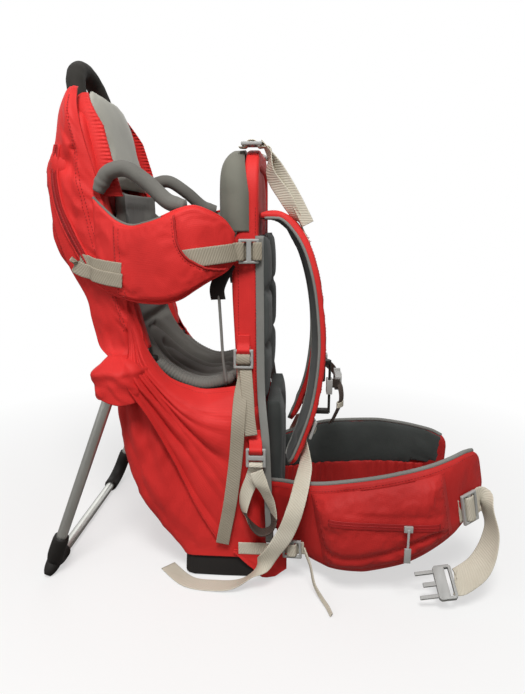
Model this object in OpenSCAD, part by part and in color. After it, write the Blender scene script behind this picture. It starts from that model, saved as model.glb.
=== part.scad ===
// Framed child-carrier backpack standing on its base and fold-out kickstand.
// Millimetres. +X is the way the wearer faces, +Y the wearer's left, +Z up; the floor is z = 0.

/* [Frame] */
// outside diameter of the frame tubes
tube_d = 16; // [12:0.5:20]
// half of the distance between the tube axes of each hoop
frame_half_w = 100; // [80:1:120]
// place of the upright front hoop
front_x = 34; // [20:1:40]
// height of the front hoop's top bar
front_top_z = 628; // [580:1:680]
// bend radius of the front hoop
front_bend_r = 46; // [30:1:70]
// where the rear hoop leaves the base hubs
rear_foot_x = -50; // [-70:1:-30]
// backward lean of the rear hoop in degrees
rear_lean = 13.9; // [8:0.2:18]
// height of the rear hoop's top bar
rear_top_z = 681; // [640:1:740]
// bend radius of the rear hoop
rear_bend_r = 30; // [24:1:34]
// height of the tube axes in the base hubs
hub_z = 24; // [20:1:32]
// wall of the moulded hubs and brackets round a bore
hub_wall = 4; // [3:0.5:5]
// radial clearance of a tube in a bore
tube_fit = 0.3; // [0.1:0.05:0.6]

/* [Handle] */
// bend radius of the carrying handle
handle_r = 58; // [45:1:70]
// diameter of the handle rod
handle_rod_d = 12; // [8:0.5:16]
// straight length of each handle leg above its clamp
handle_leg = 4; // [2:1:30]
// outside diameter of the foam grip
grip_d = 27; // [20:0.5:34]

/* [Kickstand] */
// height of the kickstand pivots
kick_pivot_z = 325; // [290:1:360]
// place of the kickstand pivots
kick_pivot_x = -155; // [-175:1:-150]
// half of the distance between the kickstand leg axes
kick_half_w = 158; // [156:1:170]
// backward slope of the open kickstand in degrees
kick_slope = 21.4; // [15:0.2:26]
// bend radius of the kickstand corners
kick_bend_r = 34; // [24:1:50]
// diameter of the pivot pins
pin_d = 8; // [6:0.5:10]
// wall of the rubber feet
foot_wall = 4; // [3:0.5:6]

/* [Base] */
// front edge of the base tray
tray_front_x = 53; // [52:1:60]
// rear edge of the base tray
tray_rear_x = -72; // [-90:1:-70]
// half width of the base tray
tray_half_w = 138; // [134:1:140]
// height of the base tray
tray_h = 46; // [36:1:60]
// wall of the base tray
tray_wall = 4; // [3:0.5:6]
// floor of the base tray
tray_floor = 6; // [4:0.5:8]

/* [Bags] */
// wall of the padded bag cloth
cloth_t = 3; // [2:0.5:5]
// clearance between soft pieces and what carries them
seat_gap = 0.3; // [0.2:0.05:0.6]
// half width of the lower body at its widest
body_half_w = 143; // [141:1:145]
// furthest place to the rear of the lower body
body_rear_x = -174; // [-190:1:-160]
// furthest place to the rear of the storage bag
bag_rear_x = -258; // [-280:1:-245]
// half width of the storage bag
bag_half_w = 112; // [100:1:120]
// thickness of the rear pocket at its fullest
pocket_t = 15; // [8:1:25]

/* [Front panel] */
// depth of the cloth sleeve round a hoop tube, front to back
sleeve_depth = 22; // [20:1:28]
// extra depth of the front sleeve below the face pad
sleeve_flange = 14; // [6:1:20]
// width of the cloth sleeve round a hoop tube
sleeve_w = 24; // [20:1:30]
// thickness of the foam board between the front tubes
board_t = 22; // [12:1:30]
// thickness of the face pad in front of the child
face_pad_t = 34; // [24:1:40]
// lower edge of the face pad
face_pad_z = 526; // [500:1:560]
// thickness of the two back pads
back_pad_t = 18; // [12:1:26]
// thickness of the lumbar pad at its sides
lumbar_t = 26; // [20:1:34]
// half width of the lumbar pad
lumbar_half_w = 92; // [80:1:96]

/* [Child seat] */
// thickness of the headrest
headrest_t = 24; // [16:1:32]
// lower edge of the headrest
headrest_z = 588; // [585:1:610]
// thickness of the seat pad
seat_t = 16; // [10:1:18]
// clearance between the backrest and the sleeves beside it
seat_side_gap = 4; // [3:0.5:18]
// depth of the sewn channels in the seat pad
channel_depth = 5; // [2:0.5:7]
// diameter of the gathered rolls round the leg openings
leg_roll_d = 18; // [12:1:22]
// thickness of the side wings
wing_t = 14; // [8:1:18]
// how far the side wings bulge outward
wing_bulge = 38; // [20:1:48]
// diameter of the padded rolls above the wings
wing_roll_d = 22; // [16:1:28]

/* [Harness] */
// width of a shoulder strap
strap_w = 58; // [45:1:70]
// thickness of a shoulder strap
strap_t = 15; // [10:1:18]
// diameter of the rails that the chest strap slides on
rail_d = 4; // [3:0.5:5]
// length of the rails
rail_len = 84; // [76:1:96]

/* [Hip belt] */
// length of a hip wing from its hinge to its tip
hip_len = 320; // [300:1:326]
// thickness of a hip wing
hip_t = 16; // [10:1:20]
// place of the hip hinges
hip_x = 66; // [64:1:70]
// middle height of the hip hinges
hip_z = 100; // [98:1:105]
// rise of the right hip wing in degrees
right_hip_rise = 11; // [0:0.5:14]
// rise of the left hip wing in degrees, downward where negative
left_hip_rise = -2; // [-3:0.5:14]
// distance of the hip pockets' flat face from the middle plane
pocket_face_y = 196; // [190:1:205]
// length of the hip pocket zips
zip_len = 168; // [120:1:180]

/* [Webbing] */
// thickness of all webbing
web_t = 1.6; // [1.2:0.1:2.2]
// width of the waist webbing
waist_web_w = 38; // [30:1:40]
// width of the shoulder and wing webbing
main_web_w = 25; // [20:1:28]
// width of the load lifters, side and stirrup webbing
small_web_w = 20; // [15:1:22]

/* [Hardware] */
// thickness of the ladder locks
lock_t = 5; // [4:0.5:7]
// middle bar of the ladder locks
lock_bar = 7; // [5:0.5:9]
// slot of the ladder locks
lock_slot = 7; // [6:0.5:9]
// rim of the ladder locks
lock_rim = 4; // [3:0.5:6]
// clearance between webbing and hardware
web_fit = 0.6; // [0.4:0.1:0.8]
// length of a waist buckle half
buckle_len = 52; // [44:1:60]
// thickness of the waist buckle
buckle_t = 14; // [11:1:18]

/* [Hidden] */
$fn = 48;
tube_r = tube_d / 2;
ring_n = 28;
lock_len = lock_bar + 2 * lock_slot + 2 * lock_rim;
lock_rise = lock_t / 2 + web_t / 2 + web_fit;
sleeve_front = front_x + sleeve_depth / 2;
sleeve_rear = front_x - sleeve_depth / 2;
sleeve_side = frame_half_w + sleeve_w / 2;
seat_half_w = frame_half_w - sleeve_w / 2 - seat_side_gap;
kick_len = (kick_pivot_z - tube_r - foot_wall) / cos(kick_slope);
kick_boss_r = tube_r + 4;
tray_mid_x = (tray_front_x + tray_rear_x) / 2;
tray_half_d = (tray_front_x - tray_rear_x) / 2;
handle_base = (rear_top_z - hub_z) / cos(rear_lean);
top_of_tray = tray_h - 14;
pad_face = sleeve_front + seat_gap;

// sub-part to build, or all of them

// Curves, skins and sweeps

function unit(v) = v / norm(v);

function spline(p, i, t) =
    let (a = p[max(i - 1, 0)], b = p[i], c = p[i + 1], d = p[min(i + 2, len(p) - 1)])
    0.5 * (2 * b + (c - a) * t + (2 * a - 5 * b + 4 * c - d) * t * t
           + (3 * b - a - 3 * c + d) * t * t * t);

function curve(p, n) =
    [for (i = [0:len(p) - 2], k = [0:n - 1]) spline(p, i, k / n), p[len(p) - 1]];

function heading(p, i) = unit(p[min(i + 1, len(p) - 1)] - p[max(i - 1, 0)]);

function signed_power(v, e) = sign(v) * pow(abs(v), e);

// point j of a rounded-box outline with half sizes a and b
function rounded(a, b, j, n) =
    let (t = 360 * j / ring_n)
    [a * signed_power(cos(t), 2 / n), b * signed_power(sin(t), 2 / n)];

// one full section of a bag: height, front, rear, half width and squareness
function section(s, grow) =
    [for (j = [0:ring_n - 1])
        let (p = rounded((s[1] - s[2]) / 2 + grow, s[3] + grow, j, s[4]))
        [(s[1] + s[2]) / 2 + p[0], p[1], s[0]]];

// closed skin through rings of equal point counts, with flat ends or joined end to end
module skin(rings, joined = false) {
    m = len(rings);
    n = len(rings[0]);
    sides = [for (i = [0:m - (joined ? 1 : 2)], j = [0:n - 1])
        let (a = i * n + j, b = i * n + (j + 1) % n)
        let (c = ((i + 1) % m) * n + j, d = ((i + 1) % m) * n + (j + 1) % n)
        each [[a, c, b], [b, c, d]]];
    last = (m - 1) * n;
    ends = joined ? [] : [for (j = [0:n / 2 - 2])
        each [[j, j + 1, n - 2 - j], [j, n - 2 - j, n - 1 - j],
              [last + j, last + n - 2 - j, last + j + 1],
              [last + j, last + n - 1 - j, last + n - 2 - j]]];
    polyhedron([for (r = rings) each r], concat(sides, ends));
}

// pad between two grids of points: its face and its back
module quilt(face, back) {
    m = len(face);
    n = len(face[0]);
    skin([for (i = [0:m - 1]) concat(face[i], [for (j = [n - 1:-1:0]) back[i][j]])]);
}

// flat webbing along a route; across gives the way its width lies, at every point or for all
module webbing(route, across, w) {
    skin([for (i = [0:len(route) - 1])
        let (t = heading(route, i))
        let (a0 = is_list(across[0]) ? across[i] : across)
        let (a = unit(a0 - (a0 * t) * t))
        let (n = cross(t, a))
        [route[i] + a * w / 2 + n * web_t / 2, route[i] - a * w / 2 + n * web_t / 2,
         route[i] - a * w / 2 - n * web_t / 2, route[i] + a * w / 2 - n * web_t / 2]]);
}

// the same width direction repeated for n points
function held(a, n) = [for (i = [1:n]) a];

// round roll along a route, drawn in at both ends
module roll(route, d, across = [0, 1, 0], n = 10) {
    m = len(route) - 1;
    skin([for (i = [0:m])
        let (t = heading(route, i))
        let (a = unit(across - (across * t) * t))
        let (b = cross(t, a))
        let (r = d / 2 * (i == 0 || i == m ? 0.55 : 1))
        [for (k = [0:n - 1]) route[i] + a * r * cos(360 * k / n) + b * r * sin(360 * k / n)]]);
}

// crown of a pad: 1 in the middle, drawn in to e at the edges
function crown(u, v, e = 0.35) =
    e + (1 - e) * pow(max(0, 1 - pow(abs(2 * u - 1), 4)), 0.5)
      * pow(max(0, 1 - pow(abs(2 * v - 1), 4)), 0.5);

module right() {
    mirror([0, 1, 0]) children();
}

module both_sides() {
    children();
    right() children();
}

// sets children at a place with their x along t and their z along n
module set_at(at, t, n) {
    x = unit(t);
    z = unit(n - (n * x) * x);
    y = cross(z, x);
    multmatrix([[x[0], y[0], z[0], at[0]], [x[1], y[1], z[1], at[1]],
                [x[2], y[2], z[2], at[2]], [0, 0, 0, 1]]) children();
}

// route of webbing threaded over the middle bar of a ladder lock set at a place
function threaded(at, t, n) =
    let (x = unit(t))
    let (z = unit(n - (n * x) * x))
    let (out = lock_bar / 2 + lock_slot / 2)
    [for (p = [[-out - 11, -lock_rise], [-out - 1.8, -lock_rise], [-out + 1.8, lock_rise],
               [out - 1.8, lock_rise], [out + 1.8, -lock_rise], [out + 11, -lock_rise]])
        at + p[0] * x + p[1] * z];

// Exact pieces

module chamfered(l, w, t, c) {
    translate([0, 0, -t / 2])
        linear_extrude(t)
            polygon([[-l / 2 + c, -w / 2], [l / 2 - c, -w / 2], [l / 2, -w / 2 + c],
                     [l / 2, w / 2 - c], [l / 2 - c, w / 2], [-l / 2 + c, w / 2],
                     [-l / 2, w / 2 - c], [-l / 2, -w / 2 + c]]);
}

module ladder_lock(web_w) {
    inner = web_w + 2 * web_fit;
    difference() {
        chamfered(lock_len, inner + 2 * lock_rim, lock_t, 2.5);
        for (s = [-1, 1])
            translate([s * (lock_bar + lock_slot) / 2, 0, 0])
                cube([lock_slot, inner, 2 * lock_t], center = true);
    }
}

// quarter bend of round bar in the xz plane, from +x round to +z, about the origin
module bend(r, d) {
    rotate([90, 0, 0])
        rotate_extrude(angle = 90)
            translate([r, 0])
                circle(d = d);
}

// upright hoop in the yz plane: legs from z = 0, top bar at z = top
module hoop(half_w, top, r, d) {
    both_sides() {
        translate([0, half_w, 0])
            cylinder(d = d, h = top - r);
        translate([0, half_w - r, top - r])
            rotate([0, 0, 90])
                bend(r, d);
    }
    translate([0, -half_w + r, top])
        rotate([-90, 0, 0])
            cylinder(d = d, h = 2 * (half_w - r));
}

module on_rear_plane() {
    translate([rear_foot_x, 0, hub_z])
        rotate([0, -rear_lean, 0])
            children();
}

// x of the rear hoop's axis at height z
function rear_at(z) = rear_foot_x - (z - hub_z) * tan(rear_lean);

// Frame

module front_hoop() {
    color("silver")
        translate([front_x, 0, hub_z])
            hoop(frame_half_w, front_top_z - hub_z, front_bend_r, tube_d);
}

module rear_hoop() {
    color("silver")
        on_rear_plane()
            hoop(frame_half_w, handle_base, rear_bend_r, tube_d);
}

hub_bottom = tray_floor;
hub_half_w = tube_r + tube_fit + hub_wall;
hub_top = hub_z + 18;

module base_hub() {
    front = front_x + hub_half_w;
    rear = rear_foot_x - hub_half_w - 4;
    color("dimgray")
        difference() {
            translate([rear, frame_half_w - hub_half_w, hub_bottom])
                cube([front - rear, 2 * hub_half_w, hub_top - hub_bottom]);
            translate([front_x, frame_half_w, hub_z])
                cylinder(d = tube_d + 2 * tube_fit, h = hub_top);
            translate([rear_foot_x, frame_half_w, hub_z])
                rotate([0, -rear_lean, 0])
                    cylinder(d = tube_d + 2 * tube_fit, h = hub_top);
            for (x = crossbar_x)
                translate([x, 0, hub_z])
                    rotate([-90, 0, 0])
                        cylinder(d = crossbar_d + 2 * tube_fit, h = frame_half_w);
        }
}

crossbar_d = 12;
crossbar_x = [front_x - 24, rear_foot_x + 24];

module base_hubs() {
    both_sides() base_hub();
}

module base_crossbars() {
    color("silver")
        for (x = crossbar_x)
            translate([x, -frame_half_w + tube_fit, hub_z])
                rotate([-90, 0, 0])
                    cylinder(d = crossbar_d, h = 2 * (frame_half_w - tube_fit));
}

strut_z = 215;
strut_d = 12;

// struts keep the two hoops apart under the seat: a flat bar with a clamp ring at each end
module side_struts() {
    ring = tube_d + 2 * tube_fit + 2 * 3;
    rear = rear_at(strut_z);
    color("silver")
        both_sides()
            difference() {
                union() {
                    translate([front_x, frame_half_w, strut_z - strut_d / 2])
                        cylinder(d = ring, h = strut_d);
                    translate([rear, frame_half_w, strut_z - strut_d / 2])
                        cylinder(d = ring, h = strut_d);
                    translate([rear, frame_half_w - 3, strut_z - strut_d / 2])
                        cube([front_x - rear, 6, strut_d]);
                }
                translate([front_x, frame_half_w, strut_z - strut_d])
                    cylinder(d = tube_d + 2 * tube_fit, h = 2 * strut_d);
                translate([rear, frame_half_w, strut_z])
                    rotate([0, -rear_lean, 0])
                        cylinder(d = tube_d + 2 * tube_fit, h = 3 * strut_d, center = true);
            }
}

clamp_w = 22;
clamp_wall = 2.5;

// saddle clamps that hold the handle rod on the rear hoop's top bar
module handle_clamps() {
    outer = tube_d + 2 * tube_fit + 2 * clamp_wall;
    color("dimgray")
        on_rear_plane()
            both_sides()
                translate([0, handle_r, handle_base])
                    difference() {
                        translate([-outer / 2, -clamp_w / 2, -outer / 2])
                            cube([outer, clamp_w, outer / 2 + tube_r + 14]);
                        rotate([90, 0, 0])
                            cylinder(d = tube_d + 2 * tube_fit, h = 2 * clamp_w, center = true);
                        translate([0, 0, tube_r + 3])
                            cylinder(d = handle_rod_d + 2 * tube_fit, h = 40);
                    }
}

rod_foot = tube_r + 3 + tube_fit;
rod_bend = tube_r + 14 + handle_leg;

module handle_rod() {
    color("silver")
        on_rear_plane()
            translate([0, 0, handle_base + rod_foot])
                hoop(handle_r, rod_bend - rod_foot + handle_r, handle_r - 0.01, handle_rod_d);
}

module handle_grip() {
    color("black")
        on_rear_plane()
            translate([0, 0, handle_base + rod_bend])
                rotate([90, 0, 90])
                    rotate_extrude(angle = 180)
                        translate([handle_r, 0])
                            difference() {
                                circle(d = grip_d);
                                circle(d = handle_rod_d + 2 * tube_fit);
                            }
}

bracket_in = frame_half_w - tube_r - tube_fit - hub_wall;
bracket_out = kick_half_w - tube_r - 1;
bracket_h = 30;

// moulded bracket clamped round the rear tube, with a boss for the kickstand pin
module pivot_bracket() {
    x0 = rear_at(kick_pivot_z);
    color("dimgray")
        difference() {
            union() {
                translate([kick_pivot_x, bracket_in, kick_pivot_z])
                    rotate([-90, 0, 0])
                        cylinder(d = bracket_h, h = bracket_out - bracket_in);
                translate([kick_pivot_x, bracket_in, kick_pivot_z - bracket_h / 2])
                    cube([x0 + hub_half_w - kick_pivot_x, 2 * hub_half_w, bracket_h]);
            }
            translate([x0, frame_half_w, kick_pivot_z])
                rotate([0, -rear_lean, 0])
                    cylinder(d = tube_d + 2 * tube_fit, h = 4 * bracket_h, center = true);
            translate([kick_pivot_x, bracket_in + hub_wall, kick_pivot_z])
                rotate([-90, 0, 0])
                    cylinder(d = pin_d + 2 * tube_fit, h = 2 * kick_half_w);
        }
}

module pivot_brackets() {
    both_sides() pivot_bracket();
}

pin_in = bracket_in + hub_wall + tube_fit;
pin_out = kick_half_w + tube_r + 1;

module pivot_pins() {
    color("gray")
        both_sides()
            translate([kick_pivot_x, 0, kick_pivot_z])
                rotate([-90, 0, 0]) {
                    translate([0, 0, pin_in])
                        cylinder(d = pin_d, h = pin_out - pin_in);
                    translate([0, 0, pin_out])
                        cylinder(d = pin_d + 7, h = pin_head);
                }
}

module on_kickstand() {
    translate([kick_pivot_x, 0, kick_pivot_z])
        rotate([0, 180 + kick_slope, 0])
            children();
}

// U-shaped bail: two legs with pivot eyes, two bends and the ground bar
module kickstand_bail() {
    color("silver")
        on_kickstand()
            difference() {
                union() {
                    hoop(kick_half_w, kick_len, kick_bend_r, tube_d);
                    both_sides()
                        translate([0, kick_half_w - tube_r, 0])
                            rotate([-90, 0, 0])
                                cylinder(r = kick_boss_r, h = tube_d);
                }
                rotate([90, 0, 0])
                    cylinder(d = pin_d + 2 * tube_fit, h = 4 * kick_half_w, center = true);
            }
}

// rubber feet wrapped round the bail's bends, each with a toe at its corner
toe_r = 4;
toe_len = 17;

module kickstand_feet() {
    color("black")
        on_kickstand()
            both_sides()
                translate([0, kick_half_w - kick_bend_r, kick_len - kick_bend_r]) {
                    rotate([90, 0, 90])
                        rotate_extrude(angle = 90)
                            translate([kick_bend_r, 0])
                                difference() {
                                    circle(r = tube_r + foot_wall);
                                    circle(r = tube_r + tube_fit);
                                }
                    rotate([-45, 0, 0])
                        translate([0, 0, kick_bend_r + tube_r + 1.5])
                            cylinder(r1 = tube_r + 1, r2 = toe_r, h = toe_len);
                }
}

// cloth covers over the pivots, open below for the legs to swing
pin_head = 3;
cover_y = pin_out + pin_head + 2.5;
cover_low = 276;
cover_high = 346;
cover_root_y = frame_half_w + hub_half_w + seat_gap;
cover_line = curve([[kick_pivot_x + 42, cover_root_y, 0], [kick_pivot_x + 37, cover_root_y + 28, 0],
                    [kick_pivot_x + 26, cover_y - 8, 0], [kick_pivot_x, cover_y, 0],
                    [kick_pivot_x - 28, cover_y - 8, 0], [kick_pivot_x - 35, body_half_w + 9, 0]], 4);

module pivot_covers() {
    m = len(cover_line) - 1;
    nv = 6;
    function at(k, j, h) =
        let (t = heading(cover_line, k), v = j / nv, low = cover_low + 20 * (1 - k / m))
        let (lean = v > 0.9 && k > 4 ? 0.94 : 1)
        [cover_line[k][0] + t[1] * h, (cover_line[k][1] - t[0] * h) * lean,
         low + (cover_high - low) * v];
    color("firebrick")
        both_sides()
            quilt([for (k = [0:m]) [for (j = [0:nv]) at(k, j, cloth_t)]],
                  [for (k = [0:m]) [for (j = [0:nv]) at(k, j, 0)]]);
}

// Base and lower body

tray_square = 10;
tray_splay = 8;
tray_flare = 26;

// section of the tray at a height, splayed at the sides by a distance
function tray_section(z, splay, grow) =
    section([z, tray_front_x, tray_rear_x, tray_half_w + splay, tray_square], grow);

module base_tray() {
    color("black")
        skin([tray_section(0, tray_splay, -3), tray_section(3, tray_splay, 0),
              tray_section(tray_flare, 0, 0), tray_section(tray_h, 0, 0),
              tray_section(tray_h, 0, -tray_wall), tray_section(tray_flare + 3, 0, -tray_wall),
              tray_section(tray_floor, tray_splay - 2, -tray_wall)]);
}

skirt = seat_gap + cloth_t;
body_front_x = front_x + hub_half_w + skirt + 1;

// levels of the lower body: height, front, rear, half width, squareness
body_levels = [
    [top_of_tray, tray_front_x + skirt, tray_rear_x - skirt, tray_half_w + skirt, tray_square],
    [tray_h + 4, tray_front_x + skirt, tray_rear_x - skirt - 12, tray_half_w + skirt, tray_square],
    [110, body_front_x + 3, body_rear_x + 40, body_half_w, 8],
    [178, body_front_x, body_rear_x + 12, body_half_w, 7],
    [232, body_front_x, body_rear_x, body_half_w, 7],
    [258, body_front_x, body_rear_x, body_half_w - 4, 7],
    [268, body_front_x - 2, body_rear_x + 4, body_half_w - 15, 8]];

// the top edge of the lower body climbs toward the rear
edge_rise = 30;
function edge_climb(x) = edge_rise * pow(max(0, min(1, (-x - 30) / 130)), 1.3);

function body_ring(k, grow) =
    let (top = len(body_levels) - 1, share = max(0, (k - top + 3) / 3))
    [for (p = section(body_levels[k], grow)) [p[0], p[1], p[2] + share * edge_climb(p[0])]];

// cloth skirt round the frame: open under the seat and closed below by the tray
module lower_body() {
    top = len(body_levels) - 1;
    color("firebrick")
        skin(concat([for (k = [0:top]) body_ring(k, 0)],
                    [for (k = [top:-1:0]) body_ring(k, -cloth_t)]), joined = true);
}

// Front panel

sleeve_low = 272;

module sleeve_section(flange) {
    difference() {
        translate([-sleeve_depth / 2 - flange, -sleeve_w / 2])
            square([sleeve_depth + flange, sleeve_w]);
        circle(d = tube_d + 2 * tube_fit);
    }
}

// cloth sleeve sewn round the front hoop, deeper below the face pad
module front_sleeve() {
    bend_z = front_top_z - front_bend_r;
    color("firebrick")
        translate([front_x, 0, 0]) {
            both_sides() {
                translate([0, frame_half_w, sleeve_low])
                    linear_extrude(face_pad_z - sleeve_low)
                        sleeve_section(sleeve_flange);
                translate([0, frame_half_w, face_pad_z])
                    linear_extrude(bend_z - face_pad_z)
                        sleeve_section(0);
                translate([0, frame_half_w - front_bend_r, bend_z])
                    rotate([90, 0, 90])
                        rotate_extrude(angle = 90)
                            translate([front_bend_r, 0])
                                rotate(90)
                                    sleeve_section(0);
            }
            translate([0, -frame_half_w + front_bend_r, front_top_z])
                rotate([-90, 0, 0])
                    linear_extrude(2 * (frame_half_w - front_bend_r))
                        sleeve_section(0);
        }
}

board_half_w = frame_half_w - sleeve_w / 2 - seat_gap;
board_low = sleeve_low;

module front_board() {
    top = front_top_z - sleeve_w / 2 - seat_gap;
    c = front_bend_r;
    color("black")
        translate([sleeve_front - board_t, 0, 0])
            rotate([90, 0, 90])
                linear_extrude(board_t)
                    polygon([[-board_half_w, board_low], [board_half_w, board_low],
                             [board_half_w, top - c], [board_half_w - c, top],
                             [-board_half_w + c, top], [-board_half_w, top - c]]);
}

// pad standing on a flat back at x = back, with its crown toward dir
module standing_pad(back, dir, half_w, z0, z1, t, y_mid = 0, nu = 12, nv = 14, e = 0.35) {
    function at(i, j, h) =
        let (u = i / nu, v = j / nv)
        let (draw = 1 - 0.10 * pow(abs(2 * v - 1), 6))
        [back + dir * h, y_mid + (2 * u - 1) * half_w * draw, z0 + (z1 - z0) * v];
    quilt([for (i = [0:nu]) [for (j = [0:nv]) at(i, j, t * crown(i / nu, j / nv, e))]],
          [for (i = [0:nu]) [for (j = [0:nv]) at(i, j, 0)]]);
}

module face_pad() {
    color("gray")
        standing_pad(sleeve_rear - seat_gap, -1, frame_half_w + 4, face_pad_z,
                     front_top_z + sleeve_w / 2, face_pad_t);
}

back_pad_low = sleeve_low + 2;
back_pad_high = 520;
back_pad_in = 26;

module back_pad() {
    color("gray")
        standing_pad(pad_face, 1, (sleeve_side - 4 - back_pad_in) / 2, back_pad_low, back_pad_high,
                     back_pad_t, (sleeve_side - 4 + back_pad_in) / 2, 8, 14);
}

module right_back_pad() {
    right() back_pad();
}

module left_back_pad() {
    back_pad();
}

lumbar_back = tray_front_x + skirt + seat_gap;

module lumbar_pad() {
    color("dimgray")
        standing_pad(lumbar_back, 1, lumbar_half_w, tray_h + 2, back_pad_low - 8, lumbar_t, 0, 12, 10, 0.7);
}

// Rear panel and child seat

sleeve_rear_low = kick_pivot_z + bracket_h;

module rear_sleeve() {
    low = (sleeve_rear_low - hub_z) / cos(rear_lean);
    high = handle_base - rear_bend_r;
    color("firebrick")
        on_rear_plane()
            both_sides()
                translate([0, frame_half_w, low])
                    linear_extrude(high - low)
                        difference() {
                            square([tube_d + 6, sleeve_w], center = true);
                            circle(d = tube_d + 2 * tube_fit);
                        }
}

rear_sleeve_half = (tube_d + 6) / 2;

// headrest: upright pad leaning with the rear hoop
module headrest_pad() {
    nu = 12;
    nv = 10;
    back = rear_sleeve_half / cos(rear_lean) + seat_gap;
    high = rear_top_z + 42;
    function at(i, j, h) =
        let (v = j / nv, z = headrest_z + (high - headrest_z) * v)
        [rear_at(z) + back + 3.8 * v * v + h, (2 * i / nu - 1) * (frame_half_w + 2 - 22 * v * v), z];
    color("lightgray")
        quilt([for (i = [0:nu]) [for (j = [0:nv]) at(i, j, headrest_t * crown(i / nu, j / nv))]],
              [for (i = [0:nu]) [for (j = [0:nv]) at(i, j, 0)]]);
}

// side line of the seat sling, from the top of the backrest to its front edge
seat_line = curve([[-165, 0, headrest_z - 8], [-163, 0, 500], [-158, 0, 430], [-142, 0, 372],
                   [-112, 0, 326], [-74, 0, 299], [-36, 0, 291],
                   [sleeve_front - board_t - 4, 0, 306]], 4);

// half width of the sling: full on the back, drawn in between the leg openings
function sling_half_w(s) = seat_half_w * (1 - 0.1 * pow(max(0, (s - 0.55) / 0.45), 1.2));

// the two edges of the sling are lifted a little, as a hammock's are
function sling_lift(u) = 10 * pow(abs(2 * u - 1), 3);

// sewn channels: one across the back, one U round the seat
function channel(u, s) =
    let (v = abs(2 * u - 1))
    max(exp(-pow((s - 0.44) / 0.035, 2)),
        s > 0.44 ? exp(-pow((v - 0.55) / 0.09, 2)) : 0,
        s > 0.44 ? exp(-pow((s - 0.88) / 0.04, 2)) * (v < 0.6 ? 1 : 0) : 0);

module seat_pad() {
    m = len(seat_line) - 1;
    nu = 16;
    function at(i, k, h) =
        let (s = k / m, u = i / nu, t = heading(seat_line, k))
        let (up = [-t[2], 0, t[0]])
        seat_line[k] + [0, (2 * u - 1) * sling_half_w(s), 0] + up * (h + sling_lift(u));
    color("gray")
        quilt([for (k = [0:m]) [for (i = [0:nu])
                  at(i, k, -channel_depth * channel(i / nu, k / m)
                           + 3 * crown(i / nu, k / m, 0))]],
              [for (k = [0:m]) [for (i = [0:nu])
                  at(i, k, -seat_t * (0.75 + 0.25 * crown(i / nu, k / m, 0)))]]);
}

// gathered roll round the edge of a leg opening, along the sling's side
leg_line = [for (k = [17:len(seat_line) - 3])
    let (s = k / (len(seat_line) - 1), t = heading(seat_line, k))
    seat_line[k] + [0, sling_half_w(s) + leg_roll_d / 2 + seat_gap, 0]
    + [-t[2], 0, t[0]] * (sling_lift(1) - seat_t / 3)];

module leg_rolls() {
    color("gray")
        both_sides()
            roll(leg_line, leg_roll_d);
}

// plan line of a side wing, from the rear sleeve round to the front sleeve
wing_rear_y = sleeve_side + seat_gap + wing_t / 2;
wing_line = curve([[rear_at(560) - 4, wing_rear_y, 0], [-140, wing_rear_y + 14, 0],
                   [-82, wing_rear_y + wing_bulge - 6, 0], [-30, wing_rear_y + wing_bulge - 12, 0],
                   [sleeve_rear - 10, wing_rear_y + 4, 0]], 4);

// upper and lower edges of the wing against its share of the way forward
function wing_top(s) = lookup(s, [[0, 572], [0.12, 550], [0.3, 534], [0.55, 543], [0.75, 559],
                                  [0.92, 550], [1, 522]]);
function wing_low(s) = lookup(s, [[0, 452], [0.2, 436], [0.5, 430], [0.75, 455], [0.92, 474],
                                  [1, 488]]);

// point on the wing's plan line, moved outward by h
function wing_out(k, h, z) =
    let (t = heading(wing_line, k))
    [wing_line[k][0] - t[1] * h, wing_line[k][1] + t[0] * h, z];

module side_wing() {
    m = len(wing_line) - 1;
    nv = 10;
    function at(k, j, h) =
        let (s = k / m, t = heading(wing_line, k))
        [wing_line[k][0] - t[1] * h, wing_line[k][1] + t[0] * h,
         wing_low(s) + (wing_top(s) - wing_low(s)) * j / nv];
    color("firebrick")
        quilt([for (k = [0:m]) [for (j = [0:nv]) at(k, j, wing_t / 2 * crown(k / m, j / nv))]],
              [for (k = [0:m]) [for (j = [0:nv]) at(k, j, -wing_t / 2 * crown(k / m, j / nv))]]);
}

module right_side_wing() {
    right() side_wing();
}

module left_side_wing() {
    side_wing();
}

wing_roll_y = sleeve_side + wing_roll_d / 2 + seat_gap;
wing_roll_line = curve([[-176, sleeve_side + wing_roll_d * 0.28 + 0.8, 584],
                        [-158, wing_roll_y, 606], [-134, wing_roll_y + 2, 609],
                        [-104, wing_roll_y + 6, 590], [-76, wing_roll_y + 12, 566],
                        [-52, wing_roll_y + 16, 560]], 4);

module wing_rolls() {
    color("gray")
        both_sides()
            roll(wing_roll_line, wing_roll_d);
}

// Storage bag and its pocket

seat_back_x = seat_line[0][0] - seat_t;
bag_tuck = 25;
seat_turn_z = seat_line[8][2];

// the bag's front keeps behind the seat, which turns forward below seat_turn_z
function bag_front(z) =
    min(seat_back_x - seat_gap + bag_tuck * max(0, (seat_turn_z - z) / 100),
        rear_at(z) - rear_sleeve_half / cos(rear_lean) - seat_gap);

// levels of the storage bag: height, front, rear, half width, squareness
bag_levels = [for (l = [[330, 72, 52], [352, 54, 32], [380, 46, 16], [420, 40, 8], [455, 30, 3], [495, 10, 0],
                        [535, 2, 0], [585, 0, 2], [622, 2, 4], [652, 18, 12], [690, 20, 26],
                        [699, 21, 36]])
    [l[0], bag_front(l[0]), bag_rear_x + l[1], bag_half_w - l[2], 3.6]];

module storage_bag() {
    n = len(bag_levels) - 1;
    lifted = [for (k = [0:n]) let (s = bag_levels[k])
        [s[0] + (k == 0 ? cloth_t : k == n ? -cloth_t : 0), s[1], s[2], s[3], s[4]]];
    color("firebrick")
        difference() {
            skin([for (s = bag_levels) section(s, 0)]);
            skin([for (s = lifted) section(s, -cloth_t)]);
        }
}

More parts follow.
